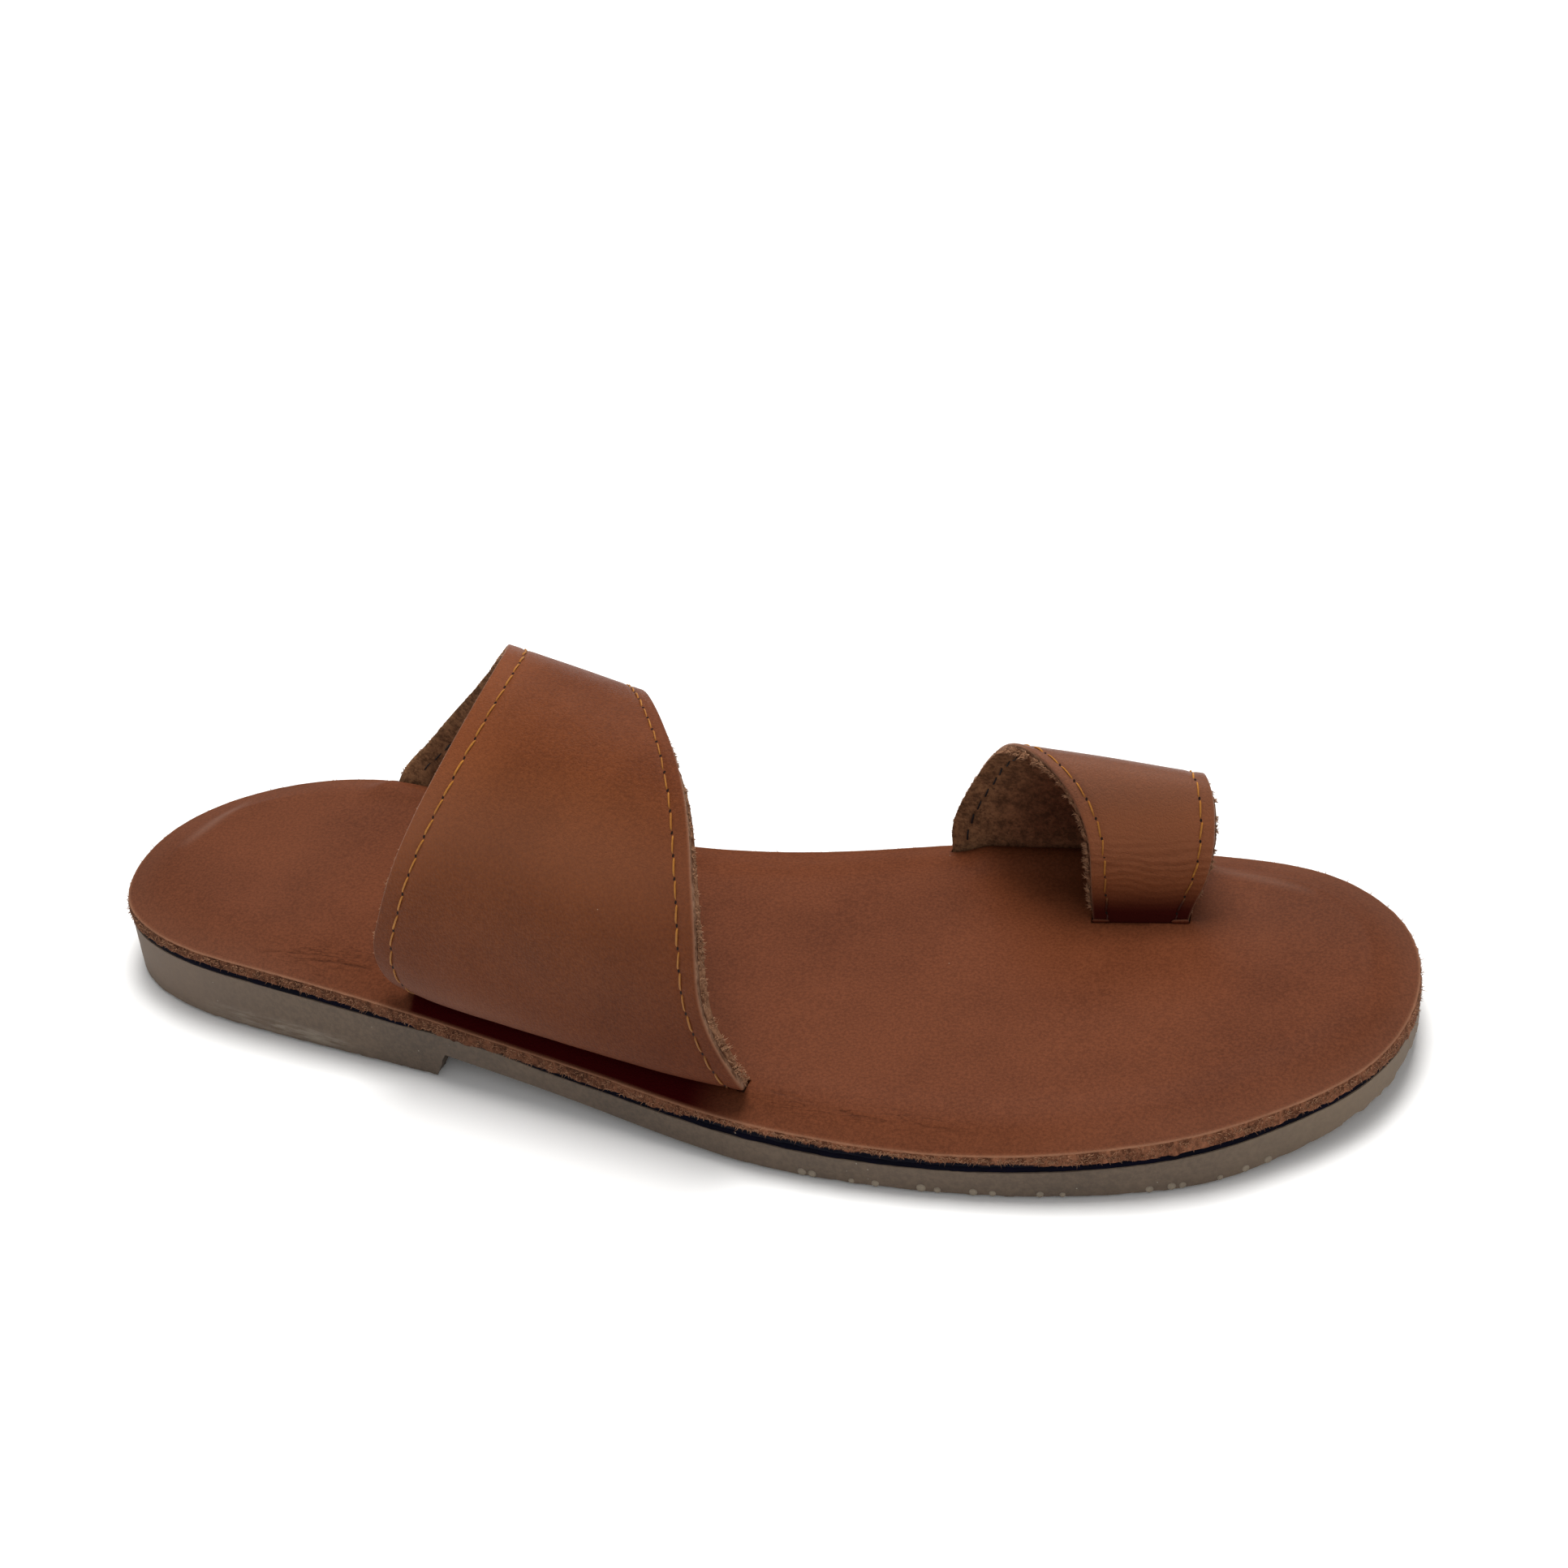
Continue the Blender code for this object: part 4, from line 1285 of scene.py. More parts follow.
def seam_line(strap, edge, inset):
    """Points, normals and side directions along a row of stitches, and the length walked along it."""
    shares = np.linspace(*OPEN_SHARES, SEAM_SAMPLES)
    offset = np.array([inset if edge == 0 else -inset])
    face, normal = outer_face(strap, shares, np.array([float(edge)]), offset, np.zeros(1))
    face, normal = face[:, 0], normal[:, 0]
    first, last = np.flatnonzero(face[:, 2] > leather_edge(face[:, 0]) + 1.0)[[0, -1]]
    face, normal = face[first:last], normal[first:last]
    side = unit(across_strap(strap, shares))[first:last]
    return face, normal, side, walked(face)


def along_line(line, walk, places):
    """Values of a line at lengths along it."""
    return np.stack([np.interp(places, walk, line[:, k]) for k in range(3)], axis=-1)


def stitch_points(line, depth, lift_sign, length, seed):
    """Tubes for a row of stitches, and how many they are."""
    face, normal, side, walk = line
    count = int(walk[-1] // STITCH_PITCH)
    random = np.random.default_rng(seed)
    centre = (np.arange(count) + 0.5) * STITCH_PITCH + random.normal(0.0, 0.12, count)
    slant = (STITCH_SLANT + random.normal(0.0, 0.05, count))[:, None, None]
    shift = random.normal(0.0, 0.06, count)[:, None, None]
    thick = random.uniform(0.82, 1.08, count)[:, None, None, None]
    t = np.linspace(-1.0, 1.0, STITCH_RINGS)
    places = centre[:, None] + t[None] * length / 2.0
    at, normal, out = (along_line(values, walk, places) for values in (face, normal, side))
    up = normal * lift_sign
    lift = (0.3 * (1.0 - t ** 4) - 0.12)[None, :, None]
    middle = at - normal * depth + up * lift + out * (slant * t[None, :, None] + shift)
    cosine, sine = circle(STITCH_SIDES)
    taper = (STITCH_RADIUS * (1.0 - 0.35 * t ** 6))[None, :, None, None] * thick
    around = cosine[:, None] * up[:, :, None, :] * 0.85 + sine[:, None] * out[:, :, None, :]
    tubes = middle[:, :, None, :] + around * taper
    return tubes.reshape(-1, 3), count


def hole_points(line):
    """Small dark dishes of painted shade where the needle went in, and how many they are."""
    face, normal, side, walk = line
    count = int(walk[-1] // STITCH_PITCH) + 1
    places = np.arange(count) * STITCH_PITCH
    at, up, out = (along_line(values, walk, places)[:, None, :] for values in (face, normal, side))
    ahead = np.cross(out, up)
    cosine, sine = (turn[None, :, None] for turn in circle(HOLE_SIDES))
    rim = at + up * HOLE_STAND + ahead * cosine * HOLE_LENGTH + out * sine * HOLE_WIDTH
    return rim.reshape(-1, 3), count


def build_seams(strap, gold, black, hole):
    """Rows of stitches along both edges of a strap, outside and inside, with their needle holes."""
    outside, inside, holes = [], [], []
    for edge in (0, 1):
        line = seam_line(strap, edge, strap.seams[edge])
        outside.append(stitch_points(line, 0.0, 1.0, STITCH_LENGTH, 70 + edge))
        inside.append(stitch_points(line, strap.wall + 0.15, -1.0, INNER_STITCH_LENGTH, 72 + edge))
        holes.append(hole_points(line))
    for rows, name, material in ((outside, "_stitches", gold), (inside, "_inner_stitches", black)):
        points, counts = zip(*rows)
        vertices = np.vstack(points)
        faces = stack_faces(STITCH_RINGS, STITCH_SIDES, sum(counts), True)
        thread = solid_piece(strap.name + name, vertices, faces, [material])
        paint(thread, "shade", np.minimum(1.3 * strap.looks(vertices[:, None, :])["shade"], 1.0))
    points, counts = zip(*holes)
    faces = repeat_faces(np.arange(HOLE_SIDES)[None], sum(counts), HOLE_SIDES)
    # dishes of painted shade for the needle holes
    piece(strap.name + "_needle_holes", np.vstack(points), faces, [hole])


def build_turned_corners(strap, material):
    """Small rolls of leather where the corners of the toe loop's inner leg turn under."""
    shares = np.linspace(0.0, 0.3, 200)
    height = above_edge(strap_line(strap, shares, 0.5)) - PAD_RISE
    share = shares[[np.argmax(height > 0.45)]]
    t = np.linspace(0.0, 1.0, HEM_RINGS)
    cosine, sine = circle(HEM_SIDES)
    vertices = []
    for edge, reach, radius in HEM_ROLLS:
        offset = (reach * t - 0.15) * (1.0 - 2.0 * edge)
        line, normal, _ = strap_points(strap, share, np.full(HEM_RINGS, float(edge)), offset, 0.0)
        width = radius * np.sqrt(np.clip(1.0 - (2.0 * t - 1.0) ** 6, 0.02, 1.0)) * (1.0 - 0.3 * t)
        middle = line[0] + normal[0] * 0.2
        around = cosine[None, :, None] * normal[0][:, None, :] * 0.7 + sine[None, :, None] * UP
        vertices.append((middle[:, None, :] + around * width[:, None, None]).reshape(-1, 3))
    vertices = np.vstack(vertices)
    faces = stack_faces(HEM_RINGS, HEM_SIDES, len(HEM_ROLLS), True)
    rolls = solid_piece(strap.name + "_turned_corners", vertices, faces, [material])
    # painted highlight along the rolls' upper sides, and painted shade over the whole rolls
    paint(rolls, "rim", np.tile(np.clip(sine * 0.8 - 0.5, 0.0, 0.25), len(vertices) // HEM_SIDES))
    paint(rolls, "shade", np.full(len(vertices), 0.7))


# Loose fibres of the cut edges

def build_fibres(name, roots, ways, lengths, thick, curl, material, seed):
    """Fine tapered three-sided hairs that curl from their roots."""
    random = np.random.default_rng(seed)
    ways = unit(ways)
    side = unit(np.cross(ways, random.normal(size=ways.shape)))
    other = np.cross(ways, side)
    bend = side * random.normal(0.0, curl, len(roots))[:, None]
    vertices = []
    for share, width in ((0.0, 1.0), (0.55, 0.8)):
        middle = roots + (ways * share + bend * share ** 2) * lengths[:, None]
        for cosine, sine in zip(*circle(3)):
            vertices.append(middle + (side * cosine + other * sine) * thick * width)
    vertices.append(roots + (ways + bend) * lengths[:, None])
    points_each = len(vertices)
    vertices = np.stack(vertices, axis=1).reshape(-1, 3)
    quads = [(k, (k + 1) % 3, (k + 1) % 3 + 3, k + 3) for k in range(3)]
    tips = [(k + 3, (k + 1) % 3 + 3, 6) for k in range(3)]
    faces = repeat_faces(quads, len(roots), points_each) + repeat_faces(tips, len(roots), points_each)
    piece(name, vertices, faces, [material])


def build_footbed_fibres(material):
    """Curled hairs all over the raw edge of the footbed, a few of them over the dark layer."""
    random = np.random.default_rng(81)
    count = FOOTBED_HAIRS
    station = random.uniform(0.0, STATIONS, count)
    number = station.astype(int)
    base = RING[number] + (RING[(number + 1) % STATIONS] - RING[number]) * (station - number)[:, None]
    outward, along = edge_ways(number)
    rise = random.beta(0.9, 1.1, count)
    bottom = 0.25 - edge_hang(base)
    height = footbed_under(base[:, 0]) + bottom + rise * (LEATHER_EDGE - 0.55 - rim_drop(base) - bottom)
    roots = np.column_stack([base, height]) - outward * 0.06
    ways = outward * random.uniform(0.15, 0.6, count)[:, None]
    ways = ways + along * random.normal(0.0, 0.8, count)[:, None]
    ways[:, 2] += random.normal(0.0, 0.5, count) - 0.25 * (rise < 0.15)
    lengths = np.minimum(random.gamma(3.0, 0.15, count) + 0.2, 0.95)
    build_fibres("footbed_edge_fibres", roots, ways, lengths, FOOTBED_HAIR_RADIUS, 0.7, material, 82)


def build_strap_fibres(strap, material):
    """Hairs in tufts along the lining's ragged edges."""
    random = np.random.default_rng(83 + strap.steps)
    count = strap.hairs
    tufts = count // TUFT_HAIRS
    tuft = random.integers(0, tufts, count)
    edge = (random.uniform(size=tufts) < strap.front_hairs).astype(int)[tuft]
    share = random.uniform(*OPEN_SHARES, tufts)[tuft] + random.normal(0.0, 0.0016, count)
    lean = random.normal(0.0, 0.5, (tufts, 3))[tuft]
    size = random.uniform(0.6, 1.3, tufts)[tuft]
    depth = random.uniform(GRAIN_LEATHER * 0.7, strap.wall, count)
    roots = np.zeros((count, 3))
    ways = np.zeros((count, 3))
    for side in (0, 1):
        chosen = edge == side
        across = np.array([float(side)])
        points, normal, _ = strap_points(strap, share[chosen], across, 0.0, depth[chosen][:, None])
        outward = unit(across_strap(strap, share[chosen])) * (2.0 * side - 1.0)
        stand = strap.proud[side] * (depth[chosen] / strap.wall) * hem_share(strap, points[:, 0])
        roots[chosen] = points[:, 0] + outward * stand[:, None]
        inward = -normal[:, 0] * random.uniform(-0.3, 0.8, chosen.sum())[:, None]
        ways[chosen] = outward * 0.8 + inward + lean[chosen] + random.normal(0.0, 0.25, (chosen.sum(), 3))
    seen = roots[:, 2] > leather_edge(roots[:, 0]) + 5.0
    lengths = np.minimum(random.gamma(2.4, 0.19, count) + 0.2, 1.05) * size
    lengths = lengths * (0.45 + 0.55 * hem_share(strap, roots)) * near_share(share)
    name = strap.name + "_edge_fibres"
    build_fibres(name, roots[seen], ways[seen], lengths[seen], STRAP_HAIR_RADIUS, 0.5, material, 84)


# Node helpers

def feed(tree, node, values):
    """Give a node's inputs their links or constants."""
    for socket, value in values.items():
        if isinstance(value, bpy.types.NodeSocket):
            tree.links.new(value, node.inputs[socket])
        else:
            node.inputs[socket].default_value = value


def put(tree, kind, values, **settings):
    """A shader node with its settings, and links or constants for its inputs."""
    made = tree.nodes.new("ShaderNode" + kind)
    for name, value in settings.items():
        setattr(made, name, value)
    feed(tree, made, values)
    return made


def start_group(name, inputs, outputs):
    """A shader node group with named sockets: inputs are label, kind and default; outputs label and kind."""
    tree = bpy.data.node_groups.new(name, "ShaderNodeTree")
    for label, kind, value in inputs:
        socket = tree.interface.new_socket(label, in_out="INPUT", socket_type="NodeSocket" + kind)
        socket.default_value = value
    for label, kind in outputs:
        tree.interface.new_socket(label, in_out="OUTPUT", socket_type="NodeSocket" + kind)
    return tree, tree.nodes.new("NodeGroupInput").outputs, tree.nodes.new("NodeGroupOutput")


def place(tree, group, values):
    """A group in a material, with that material's values."""
    return put(tree, "Group", values, node_tree=group).outputs


def math_node(tree, operation, first, second=0.0, third=0.0):
    return put(tree, "Math", {0: first, 1: second, 2: third}, operation=operation).outputs[0]


def multiply(tree, first, second):
    return math_node(tree, "MULTIPLY", first, second)


def scale_and_add(tree, value, scale, added):
    return math_node(tree, "MULTIPLY_ADD", value, scale, added)


def ramp(tree, value, low, high):
    """A value eased from 0 at low to 1 at high."""
    values = {"Value": value, "From Min": low, "From Max": high}
    return put(tree, "MapRange", values, interpolation_type="SMOOTHSTEP").outputs["Result"]


def window(tree, value, rise, fall):
    """A value eased in over one stretch and out over another."""
    return multiply(tree, ramp(tree, value, *rise), ramp(tree, value, *fall))


def blend_colours(tree, share, first, second):
    return put(tree, "Mix", {0: share, 6: first, 7: second}, data_type="RGBA").outputs[2]


def blend_values(tree, share, first, second):
    return put(tree, "Mix", {0: share, 2: first, 3: second}, data_type="FLOAT").outputs[0]


def overlaid(tree, colour, *layers):
    """A colour with others laid over it, each with the share that it covers."""
    for share, over in layers:
        colour = blend_colours(tree, share, colour, over)
    return colour


def stretched(tree, vector, stretch):
    return put(tree, "VectorMath", {0: vector, 1: stretch}, operation="MULTIPLY").outputs["Vector"]


def noise_value(tree, vector, scale, detail, roughness):
    values = {"Vector": vector, "Scale": scale, "Detail": detail, "Roughness": roughness}
    return put(tree, "TexNoise", values).outputs["Fac"]


def cells(tree, vector, scale, feature):
    return put(tree, "TexVoronoi", {"Vector": vector, "Scale": scale}, feature=feature).outputs


def attribute(tree, name):
    """A value that was painted on the points of a piece."""
    return put(tree, "Attribute", {}, attribute_name=name).outputs["Fac"]


# Shared effects

def make_dye_group():
    """Uneven dye: cloudy patches and a fine speckle between a light and a deep colour."""
    tree, given, out = start_group(
        "uneven_dye",
        (("Vector", "Vector", (0, 0, 0)), ("Light", "Color", (1, 1, 1, 1)), ("Deep", "Color", (0, 0, 0, 1)),
         ("Cloud Scale", "Float", 45.0), ("Speckle Scale", "Float", 900.0), ("Speckle", "Float", 0.3)),
        (("Colour", "Color"), ("Tone", "Float")),
    )
    cloud = ramp(tree, noise_value(tree, given["Vector"], given["Cloud Scale"], 4.0, 0.55), 0.3, 0.7)
    speck = ramp(tree, noise_value(tree, given["Vector"], given["Speckle Scale"], 3.0, 0.7), 0.3, 0.7)
    tone = blend_values(tree, given["Speckle"], cloud, speck)
    feed(tree, out, {"Tone": tone, "Colour": blend_colours(tree, tone, given["Deep"], given["Light"])})
    return tree


def make_grain_group():
    """Leather grain: small cells parted by creases, with pores and a faint roll."""
    tree, given, out = start_group(
        "leather_grain",
        (("Vector", "Vector", (0, 0, 0)), ("Cell Scale", "Float", 1500.0), ("Pore Scale", "Float", 700.0)),
        (("Height", "Float"),),
    )
    drift = put(tree, "TexNoise", {"Vector": given["Vector"], "Scale": 420.0, "Detail": 2.0})
    push = stretched(tree, drift.outputs["Color"], (0.0009, 0.0009, 0.0009))
    moved = put(tree, "VectorMath", {0: given["Vector"], 1: push}, operation="ADD").outputs["Vector"]
    grains = cells(tree, moved, given["Cell Scale"], "DISTANCE_TO_EDGE")["Distance"]
    pores = cells(tree, moved, given["Pore Scale"], "F1")["Distance"]
    roll = noise_value(tree, given["Vector"], 300.0, 3.0, 0.6)
    height = scale_and_add(tree, ramp(tree, grains, 0.0, 0.22), 0.5, roll)
    feed(tree, out, {"Height": scale_and_add(tree, ramp(tree, pores, 0.05, 0.2), 0.35, height)})
    return tree


def make_nap_group():
    """Nap of cut fibres: tangled strands, light on their tops and dark between."""
    tree, given, out = start_group(
        "fibre_nap",
        (("Vector", "Vector", (0, 0, 0)), ("Stretch", "Vector", (1, 1, 1)),
         ("Strand Scale", "Float", 1200.0), ("Clump Scale", "Float", 260.0)),
        (("Height", "Float"), ("Tone", "Float")),
    )
    vector = stretched(tree, given["Vector"], given["Stretch"])
    strands = noise_value(tree, vector, given["Strand Scale"], 4.0, 0.75)
    clumps = noise_value(tree, vector, given["Clump Scale"], 3.0, 0.6)
    mixed = blend_values(tree, 0.45, strands, clumps)
    feed(tree, out, {"Height": mixed, "Tone": ramp(tree, mixed, 0.36, 0.64)})
    return tree


def make_dust_group():
    """Scattered specks of dust."""
    tree, given, out = start_group(
        "dust_specks",
        (("Vector", "Vector", (0, 0, 0)), ("Scale", "Float", 160.0), ("Share", "Float", 0.3),
         ("Radius", "Float", 0.03)),
        (("Mask", "Float"),),
    )
    cell = cells(tree, given["Vector"], given["Scale"], "F1")
    pick = put(tree, "SeparateColor", {"Color": cell["Color"]}).outputs["Red"]
    chosen = math_node(tree, "LESS_THAN", pick, given["Share"])
    inside = math_node(tree, "LESS_THAN", cell["Distance"], given["Radius"])
    feed(tree, out, {"Mask": multiply(tree, chosen, inside)})
    return tree


def make_wrinkle_group():
    """Hairline wrinkles, drawn out along the least stretched axis."""
    tree, given, out = start_group(
        "hairline_wrinkles",
        (("Vector", "Vector", (0, 0, 0)), ("Stretch", "Vector", (1, 1, 1))),
        (("Line", "Float"),),
    )
    field = noise_value(tree, stretched(tree, given["Vector"], given["Stretch"]), 1.0, 3.0, 0.55)
    away = math_node(tree, "ABSOLUTE", math_node(tree, "SUBTRACT", field, 0.5))
    feed(tree, out, {"Line": ramp(tree, away, 0.028, 0.0)})
    return tree


DYE = make_dye_group()
GRAIN = make_grain_group()
WRINKLES = make_wrinkle_group()
NAP = make_nap_group()
DUST = make_dust_group()


# Materials

def start_material(name):
    """A material with its Principled shader and the shoe's own coordinates, in metres."""
    material = bpy.data.materials.new(name)
    material.use_nodes = True
    tree = material.node_tree
    return material, tree, tree.nodes["Principled BSDF"], put(tree, "TexCoord", {}).outputs["Object"]


def dyed(tree, at, tones, cloud_scale, speckle_scale=900.0, speckle=0.3):
    light, deep = tones
    return place(tree, DYE, {"Vector": at, "Light": light, "Deep": deep, "Cloud Scale": cloud_scale,
                             "Speckle Scale": speckle_scale, "Speckle": speckle})


def napped(tree, at, strand_scale, clump_scale=260.0, stretch=(1.0, 1.0, 1.0)):
    return place(tree, NAP, {"Vector": at, "Stretch": stretch, "Strand Scale": strand_scale,
                             "Clump Scale": clump_scale})


def dusted(tree, at, scale, share, radius):
    return place(tree, DUST, {"Vector": at, "Scale": scale, "Share": share, "Radius": radius})["Mask"]


def bump(tree, height, distance, strength):
    values = {"Height": height, "Distance": distance, "Strength": strength}
    return put(tree, "Bump", values).outputs["Normal"]


def leather_material(name, tones, gloss_level, coat, roughness):
    """Smooth dyed leather: uneven dye, fine grain, wrinkles, a pale cut rim and dust, with painted light,
    painted sheen and painted shade.
    """
    material, tree, shader, at = start_material(name)
    wrinkle = place(tree, WRINKLES, {"Vector": at, "Stretch": (105.0, 700.0, 700.0)})["Line"]
    wrinkle = multiply(tree, wrinkle, attribute(tree, "crinkle"))
    shade = attribute(tree, "shade")
    colour = overlaid(
        tree,
        dyed(tree, at, tones, 38.0, 1700.0, 0.62)["Colour"],
        # the pull layer is painted light
        (multiply(tree, attribute(tree, "pull"), 0.75), PAINTED_LIGHT_LEATHER),
        # painted sheen
        (attribute(tree, "painted_sheen"), PAINTED_SHEEN_LEATHER),
        # painted shade in the hairline wrinkles
        (multiply(tree, wrinkle, 0.5), WRINKLE_SHADE),
        # painted shade in the creases
        (multiply(tree, attribute(tree, "fold"), 0.6), FOLD_SHADE),
        (shade, SHADED_LEATHER),
        # pale cut rim, and painted highlight on the turned corners
        (multiply(tree, attribute(tree, "rim"), 0.75), PALE_RIM_AND_HIGHLIGHT),
        (multiply(tree, dusted(tree, at, 150.0, 0.3, 0.016), 0.4), LEATHER_DUST),
    )
    gloss = scale_and_add(tree, noise_value(tree, at, 130.0, 3.0, 0.6), 0.16, roughness - 0.08)
    grain = place(tree, GRAIN, {"Vector": at, "Cell Scale": 1450.0, "Pore Scale": 620.0})["Height"]
    feed(tree, shader, {
        "Base Color": colour,
        "Roughness": blend_values(tree, shade, gloss, 1.0),
        "Specular IOR Level": gloss_level,
        "Specular Tint": LEATHER_SHEEN,
        "Coat Weight": scale_and_add(tree, attribute(tree, "rolled"), -coat, coat),
        "Coat Roughness": 0.42,
        "Normal": bump(tree, scale_and_add(tree, wrinkle, -1.2, grain), 0.00014, 0.5),
    })
    return material


def raw_leather_material(name, tones, fore_gain):
    """Cut edge of leather: open fibres, paler in front, with dark glue where the edge was smeared."""
    material, tree, shader, at = start_material(name)
    light, deep = tones
    nap = napped(tree, at, 1500.0, 420.0, (1.0, 1.0, 0.55))
    colour = blend_colours(tree, nap["Tone"], deep, light)
    fore = ramp(tree, put(tree, "SeparateXYZ", {"Vector": at}).outputs["X"], -0.02, 0.03)
    gain = blend_values(tree, fore, 1.0, fore_gain)
    colour = put(tree, "VectorMath", {0: colour, "Scale": gain}, operation="SCALE").outputs["Vector"]
    feed(tree, shader, {
        "Base Color": overlaid(tree, colour, (attribute(tree, "glue"), DARK_GLUE)),
        "Roughness": 0.92,
        "Specular IOR Level": 0.1,
        "Normal": bump(tree, nap["Height"], 0.0005, 0.9),
    })
    return material


def suede_material(name, tones):
    """Napped lining, mottled between a golden and a dark brown."""
    material, tree, shader, at = start_material(name)
    nap = napped(tree, at, 1300.0, 420.0)
    colour = overlaid(
        tree,
        dyed(tree, at, tones, 90.0, 900.0, 0.5)["Colour"],
        # painted light along the rear edge
        (multiply(tree, attribute(tree, "lit_rear_band"), 0.85), LIT_SUEDE),
        (multiply(tree, math_node(tree, "SUBTRACT", 1.0, nap["Tone"]), 0.8), SHADED_SUEDE),
    )
    feed(tree, shader, {
        "Base Color": colour,
        "Roughness": 0.95,
        "Specular IOR Level": 0.08,
        "Sheen Weight": 0.12,
        "Sheen Tint": SUEDE_SHEEN,
        "Normal": bump(tree, nap["Height"], 0.0004, 0.8),
    })
    return material


def thread_material(name, tones):
    """Twisted sewing thread."""
    material, tree, shader, at = start_material(name)
    dye = dyed(tree, at, tones, 260.0, 2600.0, 0.5)
    feed(tree, shader, {
        "Base Color": overlaid(tree, dye["Colour"], (attribute(tree, "shade"), SHADED_THREAD)),
        "Roughness": 0.6,
        "Normal": bump(tree, napped(tree, at, 3200.0, 1500.0)["Height"], 0.00015, 0.8),
    })
    return material


def fibre_material(name, tones):
    """Loose leather hairs."""
    material, tree, shader, at = start_material(name)
    colour = dyed(tree, at, tones, 900.0, 1900.0, 0.5)["Colour"]
    feed(tree, shader, {"Base Color": colour, "Roughness": 0.9, "Specular IOR Level": 0.2})
    return material


def hole_shade_material(name, tones):
    """Painted shade inside a needle hole."""
    material, tree, shader, at = start_material(name)
    feed(tree, shader, {"Base Color": dyed(tree, at, tones, 500.0)["Colour"], "Roughness": 0.95})
    return material


def dark_layer_material(name, tones):
    """Navy-black layer, patchy where it was trimmed, with a little dust."""
    material, tree, shader, at = start_material(name)
    dye = dyed(tree, at, tones, 150.0)
    dust = dusted(tree, at, 300.0, 0.25, 0.04)
    feed(tree, shader, {
        "Base Color": overlaid(tree, dye["Colour"], (dust, LAYER_DUST)),
        "Roughness": scale_and_add(tree, dye["Tone"], 0.2, 0.7),
        "Specular IOR Level": 0.03,
        "Normal": bump(tree, napped(tree, at, 900.0, stretch=(1.0, 1.0, 0.4))["Height"], 0.0002, 0.5),
    })
    return material


def rubber_material(name, tones):
    """Taupe rubber with a trimmed side: ends paler with painted light, a soft scuff low on the heel, and fine
    pale specks.
    """
    material, tree, shader, at = start_material(name)
    dye = dyed(tree, at, tones, 28.0, 900.0, 0.5)
    split = put(tree, "SeparateXYZ", {"Vector": at}).outputs
    scratch = noise_value(tree, stretched(tree, at, (120.0, 120.0, 900.0)), 1.0, 5.0, 0.7)
    low_band = window(tree, split["Z"], (0.0005, 0.002), (0.0055, 0.003))
    heel_side = window(tree, split["X"], (-0.062, -0.08), (-0.108, -0.09))
    scuff = multiply(tree, multiply(tree, low_band, heel_side), ramp(tree, scratch, 0.38, 0.66))
    colour = overlaid(
        tree,
        dye["Colour"],
        # painted light at the toe and heel ends
        (multiply(tree, ramp(tree, split["X"], 0.088, 0.124), 0.4), LIT_TOE_RUBBER),
        (multiply(tree, ramp(tree, split["X"], -0.07, -0.12), 0.5), LIT_HEEL_RUBBER),
        (multiply(tree, scuff, 0.75), SCUFFED_RUBBER),
        (multiply(tree, dusted(tree, at, 520.0, 0.2, 0.07), 0.45), RUBBER_SPECK),
    )
    nap = napped(tree, at, 800.0, 300.0, (1.0, 1.0, 0.35))
    feed(tree, shader, {
        "Base Color": colour,
        "Roughness": scale_and_add(tree, dye["Tone"], 0.15, 0.66),
        "Specular IOR Level": 0.25,
        "Normal": bump(tree, nap["Height"], 0.00018, 0.5),
    })
    return material


def floor_material(name, tones):
    """Pale matt floor."""
    material, tree, shader, at = start_material(name)
    light, deep = tones
    colour = blend_colours(tree, noise_value(tree, at, 3.0, 2.0, 0.5), deep, light)
    feed(tree, shader, {"Base Color": colour, "Roughness": 0.9, "Specular IOR Level": 0.1})
    return material


# Stage

def build_floor():
    """Wide pale floor under the shoe."""
    cosine, sine = circle(FLOOR_SIDES)
    rim = np.column_stack([cosine * FLOOR_REACH, sine * FLOOR_REACH, np.full(FLOOR_SIDES, -FLOOR_DROP)])
    mesh = new_mesh("studio_floor", rim, [range(FLOOR_SIDES)])
    mesh.materials.append(floor_material("studio_floor", PALE_FLOOR))
    new_object("studio_floor", mesh)


def add_light(name, at, aim, size, power, colour, highlight):
    """A square soft light at a place, turned to a point, both in millimetres."""
    data = bpy.data.lights.new(name, "AREA")
    data.size = size * MM
    data.energy = power
    data.color = colour
    light = new_object(name, data)
    light.location = Vector(at) * MM
    light.visible_glossy = highlight
    light.rotation_mode = "QUATERNION"
    light.rotation_quaternion = (Vector(aim) - Vector(at)).to_track_quat("-Z", "Y")


def light_stage():
    """Even pale surroundings and the soft lights."""
    world = bpy.data.worlds.new("pale_studio")
    world.use_nodes = True
    background = world.node_tree.nodes["Background"]
    feed(world.node_tree, background, {"Color": (1.0, 1.0, 1.0, 1.0), "Strength": SURROUNDINGS})
    bpy.context.scene.world = world
    for light in LIGHTS:
        add_light(*light)
    bpy.context.scene.view_settings.view_transform = "Standard"


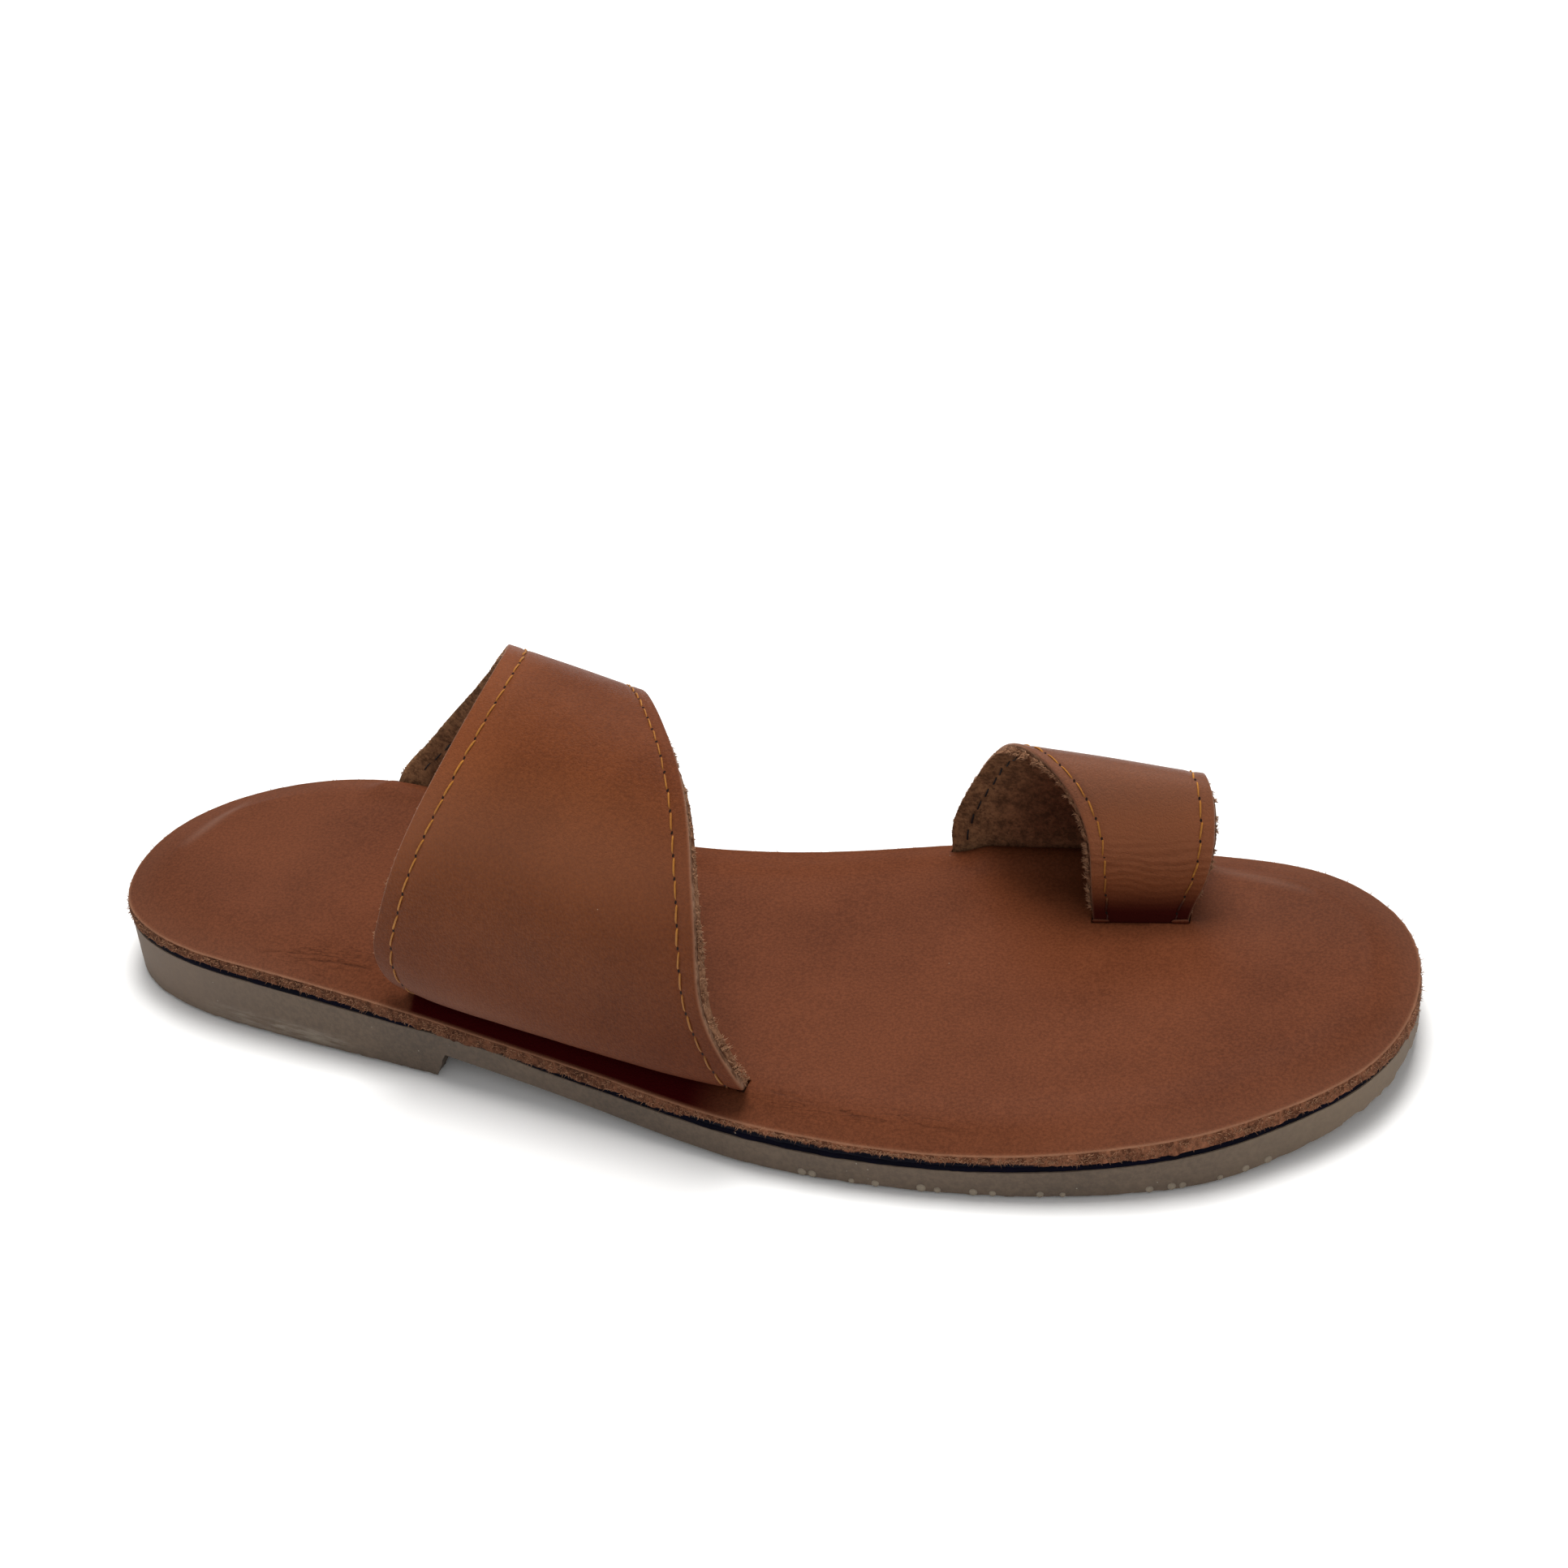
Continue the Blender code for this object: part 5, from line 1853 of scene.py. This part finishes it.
def place_camera():
    """Camera at the photograph's viewing angle."""
    data = bpy.data.cameras.new("photo_camera")
    data.sensor_width = SENSOR
    data.lens = SENSOR * FOCAL_PIXELS / PHOTO_PIXELS
    data.clip_start = 0.01
    camera = new_object("photo_camera", data)
    azimuth, elevation = math.radians(CAMERA_AZIMUTH), math.radians(CAMERA_ELEVATION)
    level = math.cos(elevation)
    ahead = Vector((-math.sin(azimuth) * level, math.cos(azimuth) * level, -math.sin(elevation)))
    roll = Quaternion((0.0, 0.0, 1.0), math.radians(CAMERA_ROLL))
    camera.location = Vector(CAMERA_AT) * MM
    camera.rotation_mode = "QUATERNION"
    camera.rotation_quaternion = ahead.to_track_quat("-Z", "Y") @ roll
    bpy.context.scene.camera = camera


def build_sole():
    """Rubber, dark layer and footbed."""
    rubber = rubber_material("taupe_rubber", RUBBER)
    build_outsole(rubber)
    build_cut_studs(rubber_material("pale_cut_rubber", PALE_RUBBER))
    build_tread(rubber)
    build_midsole(dark_layer_material("dark_layer", DARK_LAYER))
    leather = leather_material("footbed_leather", FOOTBED_DYE, gloss_level=0.0, coat=0.15, roughness=0.5)
    build_footbed([leather, raw_leather_material("footbed_cut_edge", FOOTBED_CUT, fore_gain=1.65)])
    build_footbed_fibres(fibre_material("leather_hairs", LEATHER_HAIR))


def build_straps():
    """Instep strap and toe loop, each with its lining, seams and hairs."""
    leather = leather_material("strap_leather", STRAP_DYE, gloss_level=0.2, coat=0.0, roughness=0.46)
    leather_cut = raw_leather_material("strap_cut_edge", STRAP_CUT, fore_gain=1.0)
    suede = suede_material("suede_lining", SUEDE_DYE)
    suede_cut = raw_leather_material("suede_cut_edge", SUEDE_CUT, fore_gain=1.1)
    gold = thread_material("gold_thread", GOLD_THREAD)
    black = thread_material("black_thread", BLACK_THREAD)
    hole = hole_shade_material("needle_hole", HOLE_SHADE)
    hair = fibre_material("suede_hairs", SUEDE_HAIR)
    for strap in STRAPS:
        build_strap_leather(strap, [leather, leather_cut])
        build_strap_lining(strap, [suede, suede_cut])
        build_seams(strap, gold, black, hole)
        build_strap_fibres(strap, hair)
    _, toe_loop = STRAPS
    build_turned_corners(toe_loop, leather)


build_sole()
build_straps()
build_floor()
light_stage()
place_camera()
